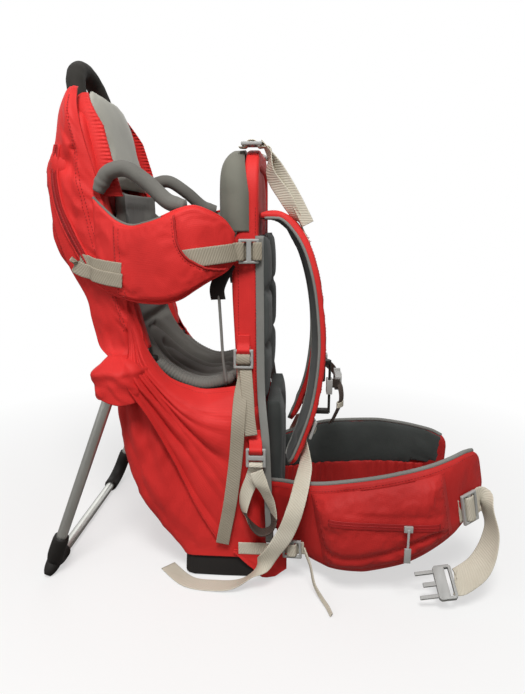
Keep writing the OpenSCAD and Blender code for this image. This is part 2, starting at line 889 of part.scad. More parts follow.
// pocket sewn on the bag's rear: it follows the bag's own outline
module rear_pocket() {
    j0 = round(ring_n * 0.33);
    j1 = ring_n - j0;
    levels = [for (k = [4:9]) k];
    m = len(levels) - 1;
    function at(k, j, h) = section(bag_levels[levels[k]], h)[j];
    function fill(k, j) = crown((j - j0) / (j1 - j0), k / m, 0.2);
    color("firebrick")
        quilt([for (k = [0:m]) [for (j = [j0:j1]) at(k, j, 2 * seat_gap + pocket_t * fill(k, j))]],
              [for (k = [0:m]) [for (j = [j0:j1]) at(k, j, 2 * seat_gap)]]);
}

// Shoulder harness

strap_root_z = 548;
strap_line = curve([[pad_face + 0.9, 66, strap_root_z], [76, 66, strap_root_z - 3],
                    [101, 73, 516], [117, 78, 478], [128, 83, 425], [133, 88, 352],
                    [125, 92, 277], [107, 96, 216], [91, 98, 176]], 3);
strap_last = len(strap_line) - 1;

// the straps leave the panel square to it and turn a little outward on the way down
function strap_turn(k) = [0.16 * min(1, k / 6), 1, 0];

function strap_width(s) = strap_w * (1 - 0.28 * s * s);
function strap_across(k) =
    let (t = heading(strap_line, k))
    unit(strap_turn(k) - (strap_turn(k) * t) * t);
function strap_normal(k) = cross(heading(strap_line, k), strap_across(k));

// x of the strap's outer face at height z
function strap_face(z) =
    lookup(z, [for (k = [strap_last:-1:5]) [strap_line[k][2], strap_line[k][0]]])
    + strap_t * 0.53 + seat_gap;

module shoulder_strap() {
    nu = 8;
    function at(k, i, h) =
        strap_line[k] + strap_across(k) * (2 * i / nu - 1) * strap_width(k / strap_last) / 2
        - strap_normal(k) * h;
    function half(k, i) = strap_t / 2 * crown(i / nu, k / strap_last, 0.6);
    color("firebrick")
        quilt([for (k = [0:strap_last]) [for (i = [0:nu]) at(k, i, half(k, i))]],
              [for (k = [0:strap_last]) [for (i = [0:nu]) at(k, i, -half(k, i))]]);
}

module right_shoulder_strap() {
    right() shoulder_strap();
}

module left_shoulder_strap() {
    shoulder_strap();
}

// load lifters run from ladder locks on the front panel's top to the straps
lifter_at = [front_x, 82, front_top_z + sleeve_w / 2 + lock_rise + web_t / 2 + seat_gap];
lifter_k = 7;
lifter_rise = strap_t / 2 + web_t / 2 + seat_gap;
function on_strap(k, h) =
    strap_line[k] + strap_normal(k) * h + strap_across(k) * 6;

module load_lifters() {
    hang = curve([lifter_at + [lock_len / 2 + 12, 0, -lock_rise - 3], [60, 86, 606], [80, 88, 575],
                  [98, 86, 546], on_strap(5, lifter_rise + 4), on_strap(6, lifter_rise + 0.4),
                  on_strap(lifter_k, lifter_rise)], 3);
    turn = curve([[0, 1, 0], [0.6, 0.7, 0.3], [0.9, 0.3, 0.4], [0.6, 0.75, 0.3], strap_across(5),
                  strap_across(6), strap_across(lifter_k)], 3);
    color("tan")
        both_sides()
            webbing(concat(threaded(lifter_at, [1, 0, 0], [0, 0, 1]), hang),
                    concat(held([0, 1, 0], 6), turn), small_web_w);
}

module load_lifter_locks() {
    color("darkgray")
        both_sides()
            set_at(lifter_at, [1, 0, 0], [0, 0, 1])
                ladder_lock(small_web_w);
}

// shoulder locks lie on the outer face of the straps' lower ends
shoulder_k = strap_last - 4;
shoulder_dir = heading(strap_line, shoulder_k);
shoulder_out = strap_normal(shoulder_k);
shoulder_at = strap_line[shoulder_k] + shoulder_out * (strap_t / 2 + lock_rise + web_t / 2 - 0.1);

module shoulder_webs() {
    y = max(body_half_w, tray_half_w + tray_splay - 3) + 30;
    floor_z = web_t;
    hang = curve([shoulder_at + shoulder_dir * 22 - shoulder_out * (lock_rise - 1), [116, 118, 182],
                  [112, 146, 166], [102, y - 4, 132], [88, y, 94], [66, y, 58], [42, y - 2, 26],
                  [16, y + 1, 9], [-16, y - 1, floor_z + 1], [-60, y - 9, floor_z],
                  [-100, y - 46, floor_z]], 3);
    turn = curve([strap_across(shoulder_k), [0.7, 0.8, 0.2], [1, 0.2, 0.3], [1, 0, 0.5], [1, 0, 0.8],
                  [1, 0, 1], [0.7, 0.5, 0.8], [0.1, 1, 0.2], [0.3, 1, 0], [0.5, 1, 0], [0.5, 1, 0]], 3);
    color("tan")
        both_sides()
            webbing(concat(threaded(shoulder_at, shoulder_dir, shoulder_out), hang),
                    concat(held(strap_across(shoulder_k), 6), turn), main_web_w);
}

module shoulder_locks() {
    color("darkgray")
        both_sides()
            set_at(shoulder_at, shoulder_dir, shoulder_out)
                ladder_lock(main_web_w);
}

// chest strap: two rails on the straps, two sliders, webbing and a buckle between them
rail_x = strap_face(330) + 11;
rail_y = 86;
rail_z = 294;
slider_h = 22;
slider_in = 14;

module chest_rails() {
    color("dimgray")
        both_sides() {
            translate([rail_x, rail_y, rail_z - rail_len / 2])
                cylinder(d = rail_d, h = rail_len);
            for (z = [rail_z - rail_len / 2 + 3, rail_z + rail_len / 2 - 3]) {
                from = strap_face(z + 3);
                translate([from, rail_y - 6, z - 3])
                    cube([rail_x - from, 12, 6]);
            }
        }
}

module chest_sliders() {
    color("darkgray")
        both_sides()
            translate([rail_x, rail_y, rail_z])
                difference() {
                    translate([-rail_d / 2 - 2.5, -slider_in, -slider_h / 2])
                        cube([rail_d + 5, slider_in + rail_d / 2 + 3, slider_h]);
                    cylinder(d = rail_d + 2 * tube_fit, h = 3 * slider_h, center = true);
                    translate([0, -slider_in + 5, 0])
                        cube([40, 4, slider_h - 6], center = true);
                }
}

chest_web_w = slider_h - 6 - 2 * web_fit;
chest_buckle_half = 24;
chest_buckle_at = [rail_x + 18, 0, rail_z - 12];

module chest_web() {
    from = rail_y - slider_in - seat_gap;
    to = chest_buckle_half + seat_gap;
    route = concat([[rail_x, from, rail_z]],
                   curve([[rail_x, from - 5, rail_z], [rail_x + 12, (from + to) / 2, rail_z - 6],
                          chest_buckle_at + [0, to + 5, 0]], 4),
                   [chest_buckle_at + [0, to, 0]]);
    color("tan")
        both_sides()
            webbing(route, [0.2, 0, 1], chest_web_w);
}

// closed chest buckle: the plug's arms show in the socket's side windows
module chest_buckle() {
    color("darkgray")
        translate(chest_buckle_at)
            rotate([90, 0, 90])
                difference() {
                    chamfered(2 * chest_buckle_half, chest_web_w + 12, 11, 4);
                    for (s = [-1, 1]) {
                        translate([s * (chest_buckle_half - 6), 0, 0])
                            cube([5, chest_web_w + 2 * web_fit, 30], center = true);
                        translate([4, s * (chest_web_w / 2 + 5), 0])
                            cube([14, 4, 30], center = true);
                    }
                }
}

// Side webbing

// wing locks stand off the sleeve's side on a sewn tab, level with the wing's outer face
wing_lock_at = [front_x - 2, sleeve_side + 10, 499];
wing_lock_dir = [0.95, -0.3, 0];
wing_lock_in = [-0.3, -0.95, 0];
wing_web_off = wing_t / 2 + web_t / 2 + 1.2;

// front webbing from the wing to its lock, and the folded webbing that ties the wing to the bag
module wing_webs() {
    front = concat([for (k = [10:2:14]) wing_out(k, wing_web_off, 497)],
                   [wing_out(15, wing_web_off - 0.8, 498)],
                   threaded(wing_lock_at, wing_lock_dir, wing_lock_in));
    rear = [[-212, bag_half_w + 3, 480], [-199, bag_half_w + 8, 479],
            wing_out(0, wing_web_off - 1, 478), wing_out(1, wing_web_off - 0.6, 476),
            wing_out(2, wing_web_off - 1, 475), wing_out(3, wing_web_off - 1, 474),
            wing_out(4, wing_web_off - 1, 472)];
    color("tan")
        both_sides() {
            webbing(front, [0, 0, 1], main_web_w);
            webbing(rear, [0, 0, 1], main_web_w);
        }
}

module wing_locks() {
    color("darkgray")
        both_sides() {
            set_at(wing_lock_at, wing_lock_dir, wing_lock_in)
                ladder_lock(main_web_w);
            translate([front_x + 7, sleeve_side + seat_gap, wing_lock_at[2] - main_web_w / 2])
                cube([5, 6, main_web_w]);
        }
}

side_lock_at = [front_x - 11, sleeve_side + lock_rise + web_t / 2 + seat_gap, 343];

module side_webs() {
    y = body_half_w + web_t / 2 + 1;
    hang = curve([side_lock_at + [0, -lock_rise + 1, -32], [20, y - 12, 290], [18, y, 256],
                  [14, y + 1, 200], [5, y + 2, 130], [-7, y + 4, 62]], 3);
    color("tan")
        both_sides()
            webbing(concat(threaded(side_lock_at, [0, 0, -1], [0, 1, 0]), hang),
                    [1, 0, 0], small_web_w);
}

module side_locks() {
    color("darkgray")
        both_sides()
            set_at(side_lock_at, [0, 0, -1], [0, 1, 0])
                ladder_lock(small_web_w);
}

// stirrup locks stand off the body on a sewn tab; the loop hangs over the lower bar
stirrup_at = [44, body_half_w + 10.5, 204];
stirrup_bar = stirrup_at + [0, 0, -lock_len / 2 + lock_rim / 2];
stirrup_off = lock_t / 2 + web_t / 2 + 2 * web_fit;

module stirrup_locks() {
    root = body_half_w * 0.945 + seat_gap;
    tab = stirrup_at[1] + lock_t / 2 - root;
    color("darkgray")
        both_sides() {
            set_at(stirrup_at, [0, 0, -1], [0, 1, 0])
                ladder_lock(small_web_w);
            translate([stirrup_at[0] - small_web_w / 2, root,
                       stirrup_at[2] + lock_len / 2 - lock_rim])
                cube([small_web_w, tab, 12]);
        }
}

module stirrup() {
    b = stirrup_bar;
    r = stirrup_off;
    over = [b + [0, r, 0], b + [0, r * 0.7, lock_rim / 2 + 2], b + [0, 0, lock_rim / 2 + 2.6],
            b + [0, -r * 0.7, lock_rim / 2 + 2], b + [0, -r, 0]];
    loop = curve([b + [-6, -r, -22], b + [-16, -r + 2, -50], b + [-18, -1, -76], b + [-6, 2, -96],
                  b + [8, 3, -106], b + [23, 3, -99], b + [27, 3, -78], b + [19, 4, -50],
                  b + [9, r + 4, -26]], 3);
    turn = curve([[1, 0.1, 0], [0.9, 0.4, 0], [0.5, 0.9, 0], [0.1, 1, 0], [0, 1, 0], [0.1, 1, 0],
                  [0.5, 0.9, -0.2], [0.9, 0.4, -0.4], [0.9, 0.1, -0.4]], 3);
    color("tan")
        webbing(concat(over, loop), concat(held([1, 0, 0], 5), turn), small_web_w);
}

module right_stirrup() {
    right() stirrup();
}

module left_stirrup() {
    stirrup();
}

stabiliser_at = [98, body_half_w + 14, 60];
stabiliser_dir = [1, 0.12, 0.05];

module stabiliser_webs() {
    y = body_half_w + web_t / 2 + seat_gap;
    sewn = tray_half_w + skirt + web_t / 2 + 2 * seat_gap;
    route = concat([[16, sewn, 50], [34, sewn + 0.2, 50], [54, sewn + 2, 51], [70, y + 5, 53]],
                   threaded(stabiliser_at, stabiliser_dir, [-0.12, 1, 0]),
                   curve([[119, y + 17, 56], [126, y + 24, 40], [132, y + 34, 17],
                          [142, y + 50, 6], [150, y + 66, 2.6], [155, y + 82, 2]], 3));
    turn = concat(held([0, 0, 1], 10),
                  curve([[0, 0.1, 1], [0.2, 0.8, 0.8], [0.3, 1, 0.5], [1, 0.1, 0.2], [1, -0.2, 0],
                         [1, -0.2, 0]], 3));
    color("tan")
        both_sides()
            webbing(route, turn, small_web_w);
}

module stabiliser_locks() {
    color("darkgray")
        both_sides()
            set_at(stabiliser_at, stabiliser_dir, [-0.12, 1, 0])
                ladder_lock(small_web_w);
}

// Hip belt

hip_fit = 0.8;
hip_y = lumbar_half_w + hip_t / 5 + hip_fit;

// plan line of a hip wing, hinge to tip, in the wing's own level frame
hip_line = curve([[0, hip_y, 0], [20, hip_y + 15, 0], [58, 140, 0], [103, 160, 0], [183, 170, 0],
                  [240, 160, 0], [284, 138, 0], [hip_len, 110, 0]], 3);
hip_last = len(hip_line) - 1;
function hip_top(s) = lookup(s, [[0, 40], [0.29, 47], [0.6, 55], [0.9, 54], [0.96, 48], [1, 36]]);
function hip_low(s) = lookup(s, [[0, -56], [0.2, -73], [0.34, -87], [0.47, -91], [0.57, -82],
                                 [0.71, -65], [0.79, -55], [0.9, -36], [0.97, -16], [1, -2]]);

// point on the wing's plan line, moved outward by h
function hip_out(k, h, z) =
    let (t = heading(hip_line, k))
    [hip_line[k][0] - t[1] * h, hip_line[k][1] + t[0] * h, z];

module on_hip(rise) {
    translate([hip_x, 0, hip_z])
        rotate([0, -rise, 0])
            children();
}

module hip_wing() {
    nv = 10;
    function at(k, j, h) =
        let (s = k / hip_last)
        hip_out(k, h, hip_low(s) + (hip_top(s) - hip_low(s)) * j / nv);
    function half(k, j) = hip_t / 2 * crown(k / hip_last, j / nv, 0.5);
    quilt([for (k = [0:hip_last]) [for (j = [0:nv]) at(k, j, half(k, j))]],
          [for (k = [0:hip_last]) [for (j = [0:nv]) at(k, j, -half(k, j))]]);
}

module right_hip_wing() {
    color("firebrick")
        on_hip(right_hip_rise) right() hip_wing();
}

module left_hip_wing() {
    color("firebrick")
        on_hip(left_hip_rise) hip_wing();
}

// pouch on the wing's outer face, with a flat front for the zip to run along
pouch_from = 7;
pouch_to = 16;

function flat_top(v) = 1 - pow(abs(2 * v - 1), 6);

module hip_pocket() {
    m = pouch_to - pouch_from;
    nv = 10;
    function at(k, j, out) =
        let (kk = k + pouch_from, s = kk / hip_last)
        let (low = hip_low(s) + 8, high = hip_top(s) - 9)
        let (p = hip_out(kk, hip_t / 2 + seat_gap, low + (high - low) * j / nv))
        let (full = flat_top(k / m) * flat_top(j / nv))
        out ? [p[0], p[1] + 2 + (pocket_face_y - p[1] - 2) * full, p[2]] : p;
    quilt([for (k = [0:m]) [for (j = [0:nv]) at(k, j, true)]],
          [for (k = [0:m]) [for (j = [0:nv]) at(k, j, false)]]);
}

module right_hip_pocket() {
    color("firebrick")
        on_hip(right_hip_rise) right() hip_pocket();
}

module left_hip_pocket() {
    color("firebrick")
        on_hip(left_hip_rise) hip_pocket();
}

// zip slider with its pull tab, riding on the pocket's flat face
zip_mid = [165, pocket_face_y + seat_gap, -7];
zip_slope = 11;
slider_from_mid = 30;

module zip_slider() {
    translate(zip_mid)
        rotate([0, zip_slope, 0])
            translate([slider_from_mid, 0, 0]) {
                translate([-6, 0, -4.5])
                    cube([12, 4, 9]);
                translate([-1.5, 4, -30])
                    cube([3, 1.6, 30]);
                translate([-4.5, 3.4, -50])
                    cube([9, 3, 22]);
            }
}

module right_zip_slider() {
    color("darkgray")
        on_hip(right_hip_rise) right() zip_slider();
}

module left_zip_slider() {
    color("darkgray")
        on_hip(left_hip_rise) zip_slider();
}

// waist webbing: threaded through the lock on the wing tip, then down to a buckle half
waist_k = 18;
waist_dir = heading(hip_line, waist_k);
waist_out = [-waist_dir[1], waist_dir[0], 0];
waist_lock_at = hip_out(waist_k, hip_t / 2 + lock_rise + web_t / 2 - seat_gap, -22);
web_end = buckle_len / 2 + web_fit;

// buckle halves: the right one hangs outside its wing, the left one is tucked inside
right_buckle_at = [222, 186, -112];
right_buckle_out = [0, 0.6, 0.8];
right_web_end = [0, 0.8, -0.6];
left_buckle_at = [274, 84, -42];
left_buckle_out = [0, 1, 0];

module waist_lock() {
    color("darkgray")
        set_at(waist_lock_at, waist_dir, waist_out)
            ladder_lock(waist_web_w);
}

module right_waist_web() {
    b = right_buckle_at + [web_end, 0, 0];
    hang = concat(curve([waist_lock_at + waist_dir * 28 - waist_out * lock_rise, [319, 136, -42],
                         [317, 148, -64], [304, 162, -86], [284, 176, -103], b + [8, 0, 0]], 3), [b]);
    turn = concat(curve([[0, 0, 1], [0.2, 0.8, 0.6], [0.2, 1, 0], [0.1, 1, -0.3], [0, 0.9, -0.5],
                         right_web_end], 3), [right_web_end]);
    on_hip(right_hip_rise)
        right() {
            color("tan")
                webbing(concat(threaded(waist_lock_at, waist_dir, waist_out), hang),
                        concat(held([0, 0, 1], 6), turn), waist_web_w);
            waist_lock();
        }
}

module left_waist_web() {
    b = left_buckle_at + [web_end, 0, 0];
    hang = concat(curve([[322, 122, -23], [333, 106, -27], [329, 92, -34], [317, 85, -40],
                         b + [6, 0, 0]], 3), [b]);
    on_hip(left_hip_rise) {
        color("tan")
            webbing(concat(threaded(waist_lock_at, waist_dir, waist_out), hang),
                    [0, 0, 1], waist_web_w);
        waist_lock();
    }
}

// plug half: web bar, two spring prongs and a middle guide
module waist_buckle_plug() {
    inner = waist_web_w + 2 * web_fit;
    color("darkgray")
        on_hip(right_hip_rise)
            right()
                set_at(right_buckle_at, [1, 0, 0], right_buckle_out) {
                    difference() {
                        translate([buckle_len / 4, 0, 0])
                            chamfered(buckle_len / 2, inner + 2 * lock_rim, buckle_t - 4, 3);
                        translate([buckle_len / 2 - 7, 0, 0])
                            cube([6, inner, 2 * buckle_t], center = true);
                    }
                    for (s = [-1, 1])
                        translate([-buckle_len / 2, s * (inner / 2 - 3) - 2.5, -2.5])
                            cube([buckle_len / 2, 5, 5]);
                    translate([-buckle_len / 2 + 8, -3, -2.5])
                        cube([buckle_len / 2 - 8, 6, 5]);
                }
}

// socket half: web bar and a shell with a mouth and two side windows
module waist_buckle_socket() {
    inner = waist_web_w + 2 * web_fit;
    color("darkgray")
        on_hip(left_hip_rise)
            set_at(left_buckle_at, [1, 0, 0], left_buckle_out)
                difference() {
                    chamfered(buckle_len, inner + 2 * lock_rim, buckle_t, 4);
                    translate([buckle_len / 2 - 7, 0, 0])
                        cube([6, inner, 2 * buckle_t], center = true);
                    translate([-buckle_len / 2 - 1, -inner / 2 - 1, -3])
                        cube([buckle_len / 2 + 8, inner + 2, 6]);
                    for (s = [-1, 1])
                        translate([-4, s * (inner / 2 + lock_rim), 0])
                            cube([16, 2 * lock_rim + 4, 6], center = true);
                }
}

front_hoop();
rear_hoop();
base_hubs();
base_crossbars();
side_struts();
handle_clamps();
handle_rod();
handle_grip();
pivot_brackets();
pivot_pins();
kickstand_bail();
kickstand_feet();
pivot_covers();
base_tray();
lower_body();
front_sleeve();
front_board();
face_pad();
right_back_pad();
left_back_pad();
lumbar_pad();
rear_sleeve();
headrest_pad();
seat_pad();
leg_rolls();
right_side_wing();
left_side_wing();
wing_rolls();
storage_bag();
rear_pocket();
right_shoulder_strap();
left_shoulder_strap();
load_lifters();
load_lifter_locks();
shoulder_webs();
shoulder_locks();
chest_rails();
chest_sliders();
chest_web();
chest_buckle();
wing_webs();
wing_locks();
side_webs();
side_locks();
stirrup_locks();
right_stirrup();
left_stirrup();
stabiliser_webs();
stabiliser_locks();
right_hip_wing();
left_hip_wing();
right_hip_pocket();
left_hip_pocket();
right_zip_slider();
left_zip_slider();
right_waist_web();
left_waist_web();
waist_buckle_plug();
waist_buckle_socket();
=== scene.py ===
"""Looks of a framed child carrier: sewn cloth, pads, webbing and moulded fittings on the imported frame."""
import logging
from dataclasses import dataclass, field
from enum import Enum
from math import atan2, cos, exp, floor, hypot, pi, radians, sin, sqrt, tan
from typing import Callable, Optional, Sequence

import bmesh
import bpy
import numpy as np
from mathutils import Matrix, Vector
from mathutils.bvhtree import BVHTree


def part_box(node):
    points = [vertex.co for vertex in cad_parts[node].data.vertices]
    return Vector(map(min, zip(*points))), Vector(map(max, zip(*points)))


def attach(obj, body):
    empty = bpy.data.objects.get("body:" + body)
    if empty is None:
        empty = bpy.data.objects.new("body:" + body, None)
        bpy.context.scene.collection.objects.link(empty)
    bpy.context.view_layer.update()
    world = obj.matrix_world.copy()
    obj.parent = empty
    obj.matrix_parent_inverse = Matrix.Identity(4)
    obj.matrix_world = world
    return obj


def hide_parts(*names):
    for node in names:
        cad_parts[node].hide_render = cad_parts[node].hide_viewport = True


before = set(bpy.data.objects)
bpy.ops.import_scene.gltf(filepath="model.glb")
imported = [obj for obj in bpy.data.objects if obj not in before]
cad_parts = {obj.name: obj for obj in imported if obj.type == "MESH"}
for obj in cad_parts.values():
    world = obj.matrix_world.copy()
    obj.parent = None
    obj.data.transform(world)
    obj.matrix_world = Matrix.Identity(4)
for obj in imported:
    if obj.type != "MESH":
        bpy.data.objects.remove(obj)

log = logging.getLogger("carrier")
MM = 0.001
# the rear hoop's lean and the place of its foot, in mm
LEAN = radians(13.9)
FOOT_X, FOOT_Z = -50, 24
# webbing, and the ladder locks that it runs through, in mm
WEB_THICK = 1.6
LOCK_THICK = 5
LOCK_RIM, LOCK_SLOT, LOCK_BAR = 4.0, 7.0, 7.0
LOCK_LONG = 2 * (LOCK_RIM + LOCK_SLOT) + LOCK_BAR
LOCK_RISE = LOCK_THICK / 2 + WEB_THICK / 2 + 0.6
Piece = bpy.types.Object
Points = np.ndarray
Knots = Sequence[Sequence[float]]
Place = Callable[[float, float, float], Points]
Height = Callable[[float, float], float]


class Side(Enum):
    """The wearer's two sides, by the sign of Y."""

    LEFT = 1
    RIGHT = -1

    @property
    def word(self) -> str:
        """The side's name as the nodes and bodies spell it."""
        return self.name.lower()

    def of(self, piece: str) -> str:
        """A piece's full name on this side."""
        return f"{self.word}_{piece}"


class Surface(Enum):
    """How a finish was made, which sets the pattern that is drawn on it."""

    CLOTH = "plain woven nylon"
    KNIT = "brushed knit over foam"
    WEBBING = "twill webbing"
    MOULDING = "moulded acetal"
    METAL = "drawn and anodised tube"
    FOAM = "closed-cell foam"
    RUBBER = "moulded rubber"
    THREAD = "sewing thread"


def linear(hex_colour: str) -> tuple[float, float, float, float]:
    """Turns an sRGB hex colour into linear RGBA.

    Args:
        hex_colour: colour such as "#E03A38".
    Returns:
        Linear red, green, blue and an alpha of 1.
    """
    parts = [int(hex_colour[i:i + 2], 16) / 255 for i in (1, 3, 5)]
    red, green, blue = (c / 12.92 if c <= 0.04045 else ((c + 0.055) / 1.055) ** 2.4 for c in parts)
    return red, green, blue, 1.0


def add(tree: bpy.types.NodeTree, kind: str, sockets: dict, **settings: object) -> bpy.types.Node:
    """Adds a node with its settings, values and links.

    Args:
        tree: node tree that takes the node.
        kind: shader node type.
        sockets: input name or number, with a value or the output socket that feeds it.
        settings: properties of the node.
    Returns:
        The new node.
    """
    node = tree.nodes.new("ShaderNode" + kind)
    for key, value in settings.items():
        setattr(node, key, value)
    for key, value in sockets.items():
        if isinstance(value, bpy.types.NodeSocket):
            tree.links.new(value, node.inputs[key])
        else:
            node.inputs[key].default_value = value
    return node


@dataclass(frozen=True)
class Finish:
    """One real material with the way its surface was made.

    pattern_mm is the spacing of threads, ribs, cells or grit, and relief_mm their height.
    """

    name: str
    slot: str
    surface: Surface
    colour: str
    shade: str
    roughness: float
    pattern_mm: float
    relief_mm: float
    metallic: float = 0.0
    sheen: float = 0.0

    def material(self) -> bpy.types.Material:
        """The finish's material, made on first use."""
        found = bpy.data.materials.get(self.name)
        if found is not None:
            return found
        made = bpy.data.materials.new(self.name)
        made.use_nodes = True
        made.diffuse_color = linear(self.colour)
        tree = made.node_tree
        shader = tree.nodes["Principled BSDF"]
        shader.inputs["Metallic"].default_value = self.metallic
        shader.inputs["Sheen Weight"].default_value = self.sheen
        shader.inputs["Sheen Roughness"].default_value = 0.5
        shader.inputs["Specular IOR Level"].default_value = 0.5 if self.metallic else 0.28
        place = add(tree, "TexCoord", {})
        height = self._relief(tree, place)
        # colour drifts slowly over a hand's width, as dyed goods that have been used do
        fade = add(tree, "TexNoise", {"Vector": place.outputs["Object"], "Scale": 1 / 0.07, "Detail": 3.0})
        drift = add(tree, "MapRange", {0: fade.outputs[0], 1: 0.35, 2: 0.7, 3: 0.0, 4: 0.55})
        # painted shade: the low parts of each relief pattern are darkened toward the shade colour
        pit_shade = add(tree, "MapRange", {0: height, 1: 0.0, 2: 0.6, 3: 0.45, 4: 0.0})
        both = add(tree, "Math", {0: drift.outputs[0], 1: pit_shade.outputs[0]}, operation="MAXIMUM")
        tint = add(tree, "Mix", {0: both.outputs[0], 6: linear(self.colour), 7: linear(self.shade)}, data_type="RGBA")
        rough = add(tree, "MapRange", {0: fade.outputs[0], 3: self.roughness - 0.06, 4: self.roughness + 0.08})
        bump = add(tree, "Bump", {"Strength": 0.6, "Distance": self.relief_mm * MM, "Height": height})
        ends = {"Base Color": tint.outputs[2], "Roughness": rough.outputs[0], "Normal": bump.outputs[0]}
        for name, end in ends.items():
            tree.links.new(end, shader.inputs[name])
        return made

    def _relief(self, tree: bpy.types.NodeTree, place: bpy.types.Node) -> bpy.types.NodeSocket:
        """Draws the surface's height pattern.

        Args:
            tree: material's node tree.
            place: its texture coordinates.
        Returns:
            Socket with the height from 0 to 1.
        """
        per_m = 1 / (self.pattern_mm * MM)
        # a wave texture repeats every 2 pi / 20 of its scaled coordinate
        wave = per_m * 2 * pi / 20
        weave, solid = place.outputs["UV"], place.outputs["Object"]
        if self.surface is Surface.CLOTH:
            warp, weft = (add(tree, "TexWave", {"Vector": weave, "Scale": wave}, bands_direction=d) for d in "XY")
            return add(tree, "Math", {0: warp.outputs[1], 1: weft.outputs[1]}, operation="MAXIMUM").outputs[0]
        if self.surface is Surface.WEBBING:
            slant = add(tree, "Mapping", {"Vector": weave, "Rotation": (0, 0, radians(28))})
            ribs = add(tree, "TexWave", {"Vector": slant.outputs[0], "Scale": wave}, bands_direction="X")
            return ribs.outputs[1]
        if self.surface is Surface.KNIT:
            cells = add(tree, "TexVoronoi", {"Vector": solid, "Scale": per_m})
            nap = add(tree, "TexNoise", {"Vector": solid, "Scale": per_m * 0.4})
            return add(tree, "Mix", {0: 0.5, 2: cells.outputs[0], 3: nap.outputs[0]}).outputs[0]
        if self.surface is Surface.METAL:
            drawn = add(tree, "Mapping", {"Vector": solid, "Scale": (1.0, 1.0, 0.06)})
            return add(tree, "TexNoise", {"Vector": drawn.outputs[0], "Scale": per_m, "Detail": 4.0}).outputs[0]
        if self.surface is Surface.FOAM:
            return add(tree, "TexVoronoi", {"Vector": solid, "Scale": per_m}).outputs[0]
        return add(tree, "TexNoise", {"Vector": solid, "Scale": per_m, "Detail": 2.0}).outputs[0]


# Threads, cells and ribs are drawn two to four times their real pitch, because the true ones are
# finer than a pixel of the photograph's frame. The comment on each finish says what it gives the eye.

# woven nylon: matt, with a faint sheen where a fold turns to the light
RED_CLOTH = Finish("red_nylon_plain_woven", "red_cloth", Surface.CLOTH, "#DC2E2B", "#B31F1D",
    0.62, 2.4, 0.22, sheen=0.02)
# the same weave painted deeper and duller: painted shade, for cloth that lies in shade
RED_SHADE = Finish("red_nylon_painted_shade_woven", "red_cloth", Surface.CLOTH, "#B42220", "#861616",
    0.65, 2.4, 0.22, sheen=0.02)
# the body's red nylon painted darker for the hip belt: painted shade, as the belt lies in less light
RED_BELT_SHADED = Finish("red_nylon_belt_painted_shade_woven", "red_cloth", Surface.CLOTH, "#C02724", "#981A18",
    0.62, 2.4, 0.22, sheen=0.02)
# twisted thread: short bars, darker than the cloth that they hold
RED_THREAD = Finish("red_polyester_thread", "red_cloth", Surface.THREAD, "#9E1C1C", "#7C1414",
    0.55, 0.8, 0.1)
# zip tape: dense fine ribs, with a dull gleam on the coil
RED_ZIP = Finish("red_coil_zip_tape_woven", "red_cloth", Surface.CLOTH, "#A92020", "#751212",
    0.5, 1.6, 0.3)
# brushed knit: a soft nap that takes no highlight
GREY_PAD = Finish("grey_polyester_brushed_knit", "grey_mesh_pad", Surface.KNIT, "#73716B", "#53514C",
    0.82, 2.0, 0.3, sheen=0.1)
# the same knit, pale: a light bloom along rounded edges
PALE_PAD = Finish("pale_grey_polyester_brushed_knit", "pale_grey_pad", Surface.KNIT, "#B2B0A4", "#98978D",
    0.8, 2.0, 0.25, sheen=0.2)
# the same knit in a middle grey: even and dull, shaded only by its shape
FACE_PAD = Finish("mid_grey_polyester_brushed_knit", "pale_grey_pad", Surface.KNIT, "#77766B", "#615F57",
    0.8, 2.0, 0.25, sheen=0.1)
# spacer knit: open cells that look deep and slate grey
BACK_PAD = Finish("slate_polyester_spacer_knit", "grey_mesh_pad", Surface.KNIT, "#575A58", "#404341",
    0.8, 2.2, 0.35, sheen=0.1)
# spacer knit over foam: nearly black, its cells just seen
DARK_PAD = Finish("dark_grey_polyester_spacer_knit", "dark_grey_pad", Surface.KNIT, "#404341", "#2C2F2D",
    0.8, 2.2, 0.35, sheen=0.1)
# binding tape: a tight flat weave that draws a clean pale line
GREY_BINDING = Finish("grey_polyester_binding_woven", "grey_mesh_pad", Surface.CLOTH, "#84847F", "#6A6A66",
    0.7, 1.8, 0.2)
# twill webbing: slanting ribs with a slight gleam
BEIGE_WEB = Finish("beige_polypropylene_twill_webbing", "beige_webbing", Surface.WEBBING, "#D6CFBF", "#A9A089",
    0.62, 3.4, 0.5)
# the same twill, darker, for the wing and side straps
TAUPE_WEB = Finish("taupe_polypropylene_twill_webbing", "beige_webbing", Surface.WEBBING, "#A89F8E", "#7C725F",
    0.64, 3.4, 0.5)
# the same twill in a brown black; on the left waist webbing this dark is painted shade
DARK_WEB = Finish("dark_polypropylene_twill_webbing", "beige_webbing", Surface.WEBBING, "#4E423B", "#352C27",
    0.65, 3.4, 0.5)
# moulded acetal: smooth, with broad soft highlights on its rounded edges
GREY_ACETAL = Finish("grey_acetal_moulded", "grey_moulding", Surface.MOULDING, "#ABABA8", "#8E8E8A",
    0.4, 0.9, 0.05)
# moulded nylon: a fine grain that breaks the highlight up
BLACK_NYLON = Finish("black_nylon_moulded", "black_moulding", Surface.MOULDING, "#1E1B18", "#12100E",
    0.5, 0.9, 0.08)
# coated nylon: dull black with a tight weave
BLACK_CLOTH = Finish("black_nylon_coated_woven", "black_moulding", Surface.CLOTH, "#17120F", "#0C0908",
    0.7, 2.4, 0.2)
# drawn tube: silver grey, its highlights running lengthwise
ALUMINIUM = Finish("aluminium_drawn_anodised", "aluminium_tube", Surface.METAL, "#CDCDC8", "#A5A59F",
    0.36, 1.2, 0.04, metallic=1.0)
# closed-cell foam: dry, black and finely pitted
BLACK_FOAM = Finish("black_foam_closed_cell", "black_foam", Surface.FOAM, "#2E2C28", "#1D1B18",
    0.85, 1.3, 0.25)
